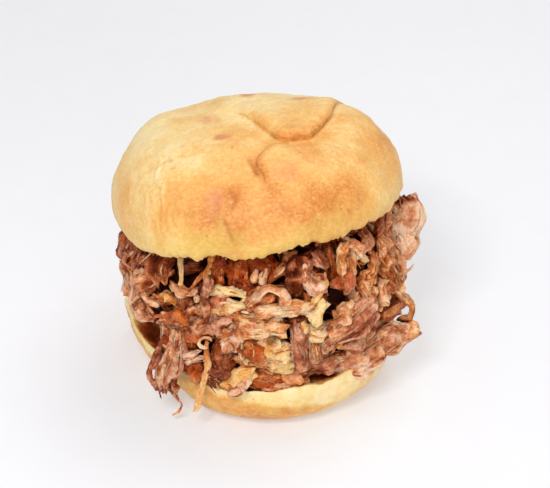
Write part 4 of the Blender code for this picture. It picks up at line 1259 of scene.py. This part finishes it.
def makeFibres():
    # single fibres that cling to the pieces they came from, some with a loose end
    random = np.random.default_rng(31)
    turn = np.arange(4) / 4 * 2 * math.pi
    for kind in ("porkSlabs", "porkFlakes", "porkChunks", "porkBed"):
        for points, rows, columns, tone, warm, coat, _, _ in list(heap[kind]):
            grid = points[1:-1].reshape(rows, columns, 3)
            spine = grid.mean(axis=1)
            length = np.linalg.norm(np.diff(spine, axis=0), axis=1).sum()
            girth = np.linalg.norm(np.diff(grid[rows // 2], axis=0), axis=1).sum()
            for _ in range(int(girth * length / 2 / fibres["each"] + random.uniform())):
                span = min(rows - 1, max(3, int(random.uniform(*fibres["length"]) / length * rows)))
                picks = random.integers(0, rows - span) + np.linspace(0, span, 5).astype(int)
                across = random.integers(0, columns // 2) + np.linspace(0, random.normal(0, 2), 5).astype(int)
                line = grid[picks, across % columns]
                out = unit(line - spine[picks])
                line[1:-1] = (line[:-2] + 2 * line[1:-1] + line[2:]) / 4
                line = line + 0.12 * out
                if random.uniform() < fibres["loose"]:
                    line[3:] += out[3:] * random.uniform(0.4, 1.6) * np.array([[0.3], [1.0]])
                    line[4] += (line[4] - line[3]) * random.uniform(0, 0.8)
                along = unit(np.gradient(line, axis=0))
                side = unit(np.cross(along, out))
                size = (random.uniform(*fibres["radius"]) * np.array([0.5, 1, 1, 0.9, 0.4]))[:, None, None]
                spokes = np.cos(turn)[:, None] * out[:, None] + np.sin(turn)[:, None] * side[:, None]
                rings = line[:, None] + size * spokes
                tube = np.concatenate([line[:1], rings.reshape(-1, 3), line[-1:]])
                shade = tone[0] + random.normal(-0.06, 0.2)
                grain = np.concatenate([tube[:, :1] * 0 + random.uniform(0, 900), tube[:, 1:]], 1)
                count = len(tube)
                heap["porkFibres"].append((tube, 5, 4, np.full(count, shade), warm[:count], coat[:count],
                                           np.full(count, 0.3), grain))


# the fineness of the core's mesh, and in mm how low it goes, how far in from the outline and how wide at most
core = {"columns": 120, "rows": 60, "bottom": 15.5, "inset": 6.0, "largestRadius": 42.0}


def makeCore():
    # the middle of the heap, set in from the imported solid's outline and only seen between the shreds: drawn
    # dark as painted shade, in the sauce's colours
    columns, rows = core["columns"], core["rows"]
    rings = []
    for r in range(rows):
        ring = []
        for c in range(columns):
            direction = c / columns * 360
            top = heapTop(direction, 40) - 1.5
            level = top - r / (rows - 1) * (top - core["bottom"])
            ring.append(heapPlace(direction, level, -core["inset"]))
        rings.append(ring)
    rings = np.array(rings)
    away = rings[..., :2] - heapAxis
    reach = np.linalg.norm(away, axis=-1, keepdims=True)
    rings[..., :2] = heapAxis + away / reach * np.minimum(reach, core["largestRadius"])
    lumps = layeredNoise(rings, (1.4, 6, 71), (0.5, 2.5, 72))
    rings[..., :2] += away / reach * lumps[..., None]
    points = np.concatenate([rings[0].mean(0)[None], rings.reshape(-1, 3), rings[-1].mean(0)[None]])
    # high tone, hollow and deep: the core is drawn dark as painted shade
    evenly = {"tone": 0.7, "warm": 0.5, "sauce": 0.9, "hollow": 0.7, "deep": 0.6}
    numbers = {key: np.full(len(points), value) for key, value in evenly.items()}
    return buildMesh("porkCore", points, ringFaces(rows, columns), [saucePork], numbers, {"fibre": points})


porkCore = makeCore()
kindMaterials = {"porkFat": fatPork, "porkSauce": saucePork, "herbLeaf": herbMaterial()}
makeFibres()
porkPieces = [joinShreds(kind, kindMaterials.get(kind, leanPork)) for kind in heap]
print("pork laid in the roll")

# floor, light and camera

studio = {
    "sky": 0.50,                                    # even light from all round, as from a white tent
    "floorSide": 3600, "floorGlow": 0.325,
    # softboxes: name, place in mm, side in mm, watts
    "boxes": (("keyBox", (-130, -460, 620), 210, 2.2), ("frontBox", (240, -720, 240), 400, 1.3),
              ("topBox", (220, 240, 740), 460, 1.9), ("sparkBox", (-220, -380, 560), 50, 0.5)),
    "cameraAim": (4.2, 0.0, 54.0), "cameraDistance": 650.0, "cameraHeight": 36.0, "lens": 108.65,
}


def makeFloor():
    # white acrylic sheet lit softly from below, so that shadows stay faint
    material, tree, shader = newMaterial("paleStudioFloor")
    add = partial(addNode, tree)
    cloudy = add("TexNoise", add("TexCoord", output="Object"), perMm(17), 2)
    sheet = add("ValToRGB", cloudy, stops=((0.0, "#c7c7c9"), (1.0, "#cbcbcd")))
    setInputs(tree, shader, {
        "Base Color": sheet, "Emission Color": linearColour("#fbfbfd"),
        "Emission Strength": studio["floorGlow"], "Roughness": 0.9, "Specular IOR Level": 0.1})
    half = studio["floorSide"] / 2
    points = [(x * half, y * half, 0) for x, y in ((-1, -1), (1, -1), (1, 1), (-1, 1))]
    floor = buildMesh("studioFloor", points, [(0, 1, 2, 3)], [material])


def makeStudio():
    world = bpy.data.worlds.new("studioTent")
    bpy.context.scene.world = world
    world.use_nodes = True
    background = world.node_tree.nodes["Background"]
    setInputs(world.node_tree, background, {"Color": linearColour("#fdfdff"), "Strength": studio["sky"]})
    aim = Vector(studio["cameraAim"]) * mm
    for name, place, side, watts in studio["boxes"]:
        light = bpy.data.lights.new(name, "AREA")
        light.size = side * mm
        light.energy = watts
        lamp = bpy.data.objects.new(name, light)
        lamp.location = Vector(place) * mm
        lamp.rotation_euler = (aim - lamp.location).to_track_quat("-Z", "Y").to_euler()
        bpy.context.scene.collection.objects.link(lamp)
    camera = bpy.data.objects.new("frontCamera", bpy.data.cameras.new("frontCamera"))
    height = math.radians(studio["cameraHeight"])
    camera.location = aim + Vector((0, -math.cos(height), math.sin(height))) * studio["cameraDistance"] * mm
    camera.rotation_euler = (aim - camera.location).to_track_quat("-Z", "Y").to_euler()
    camera.data.lens = studio["lens"]
    camera.data.sensor_width = 36                   # mm, full frame
    bpy.context.scene.collection.objects.link(camera)
    bpy.context.scene.camera = camera
    bpy.context.scene.view_settings.view_transform = "Standard"


makeFloor()
makeStudio()
print("floor, lights and camera in place")

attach(bunCrown, "root")
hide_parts("bun_top")
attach(bunHeel, "root")
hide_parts("bun_bottom")
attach(breadCrumbs, "root")
for piece in [porkCore] + porkPieces:
    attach(piece, "root")
    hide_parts("pulled_pork")
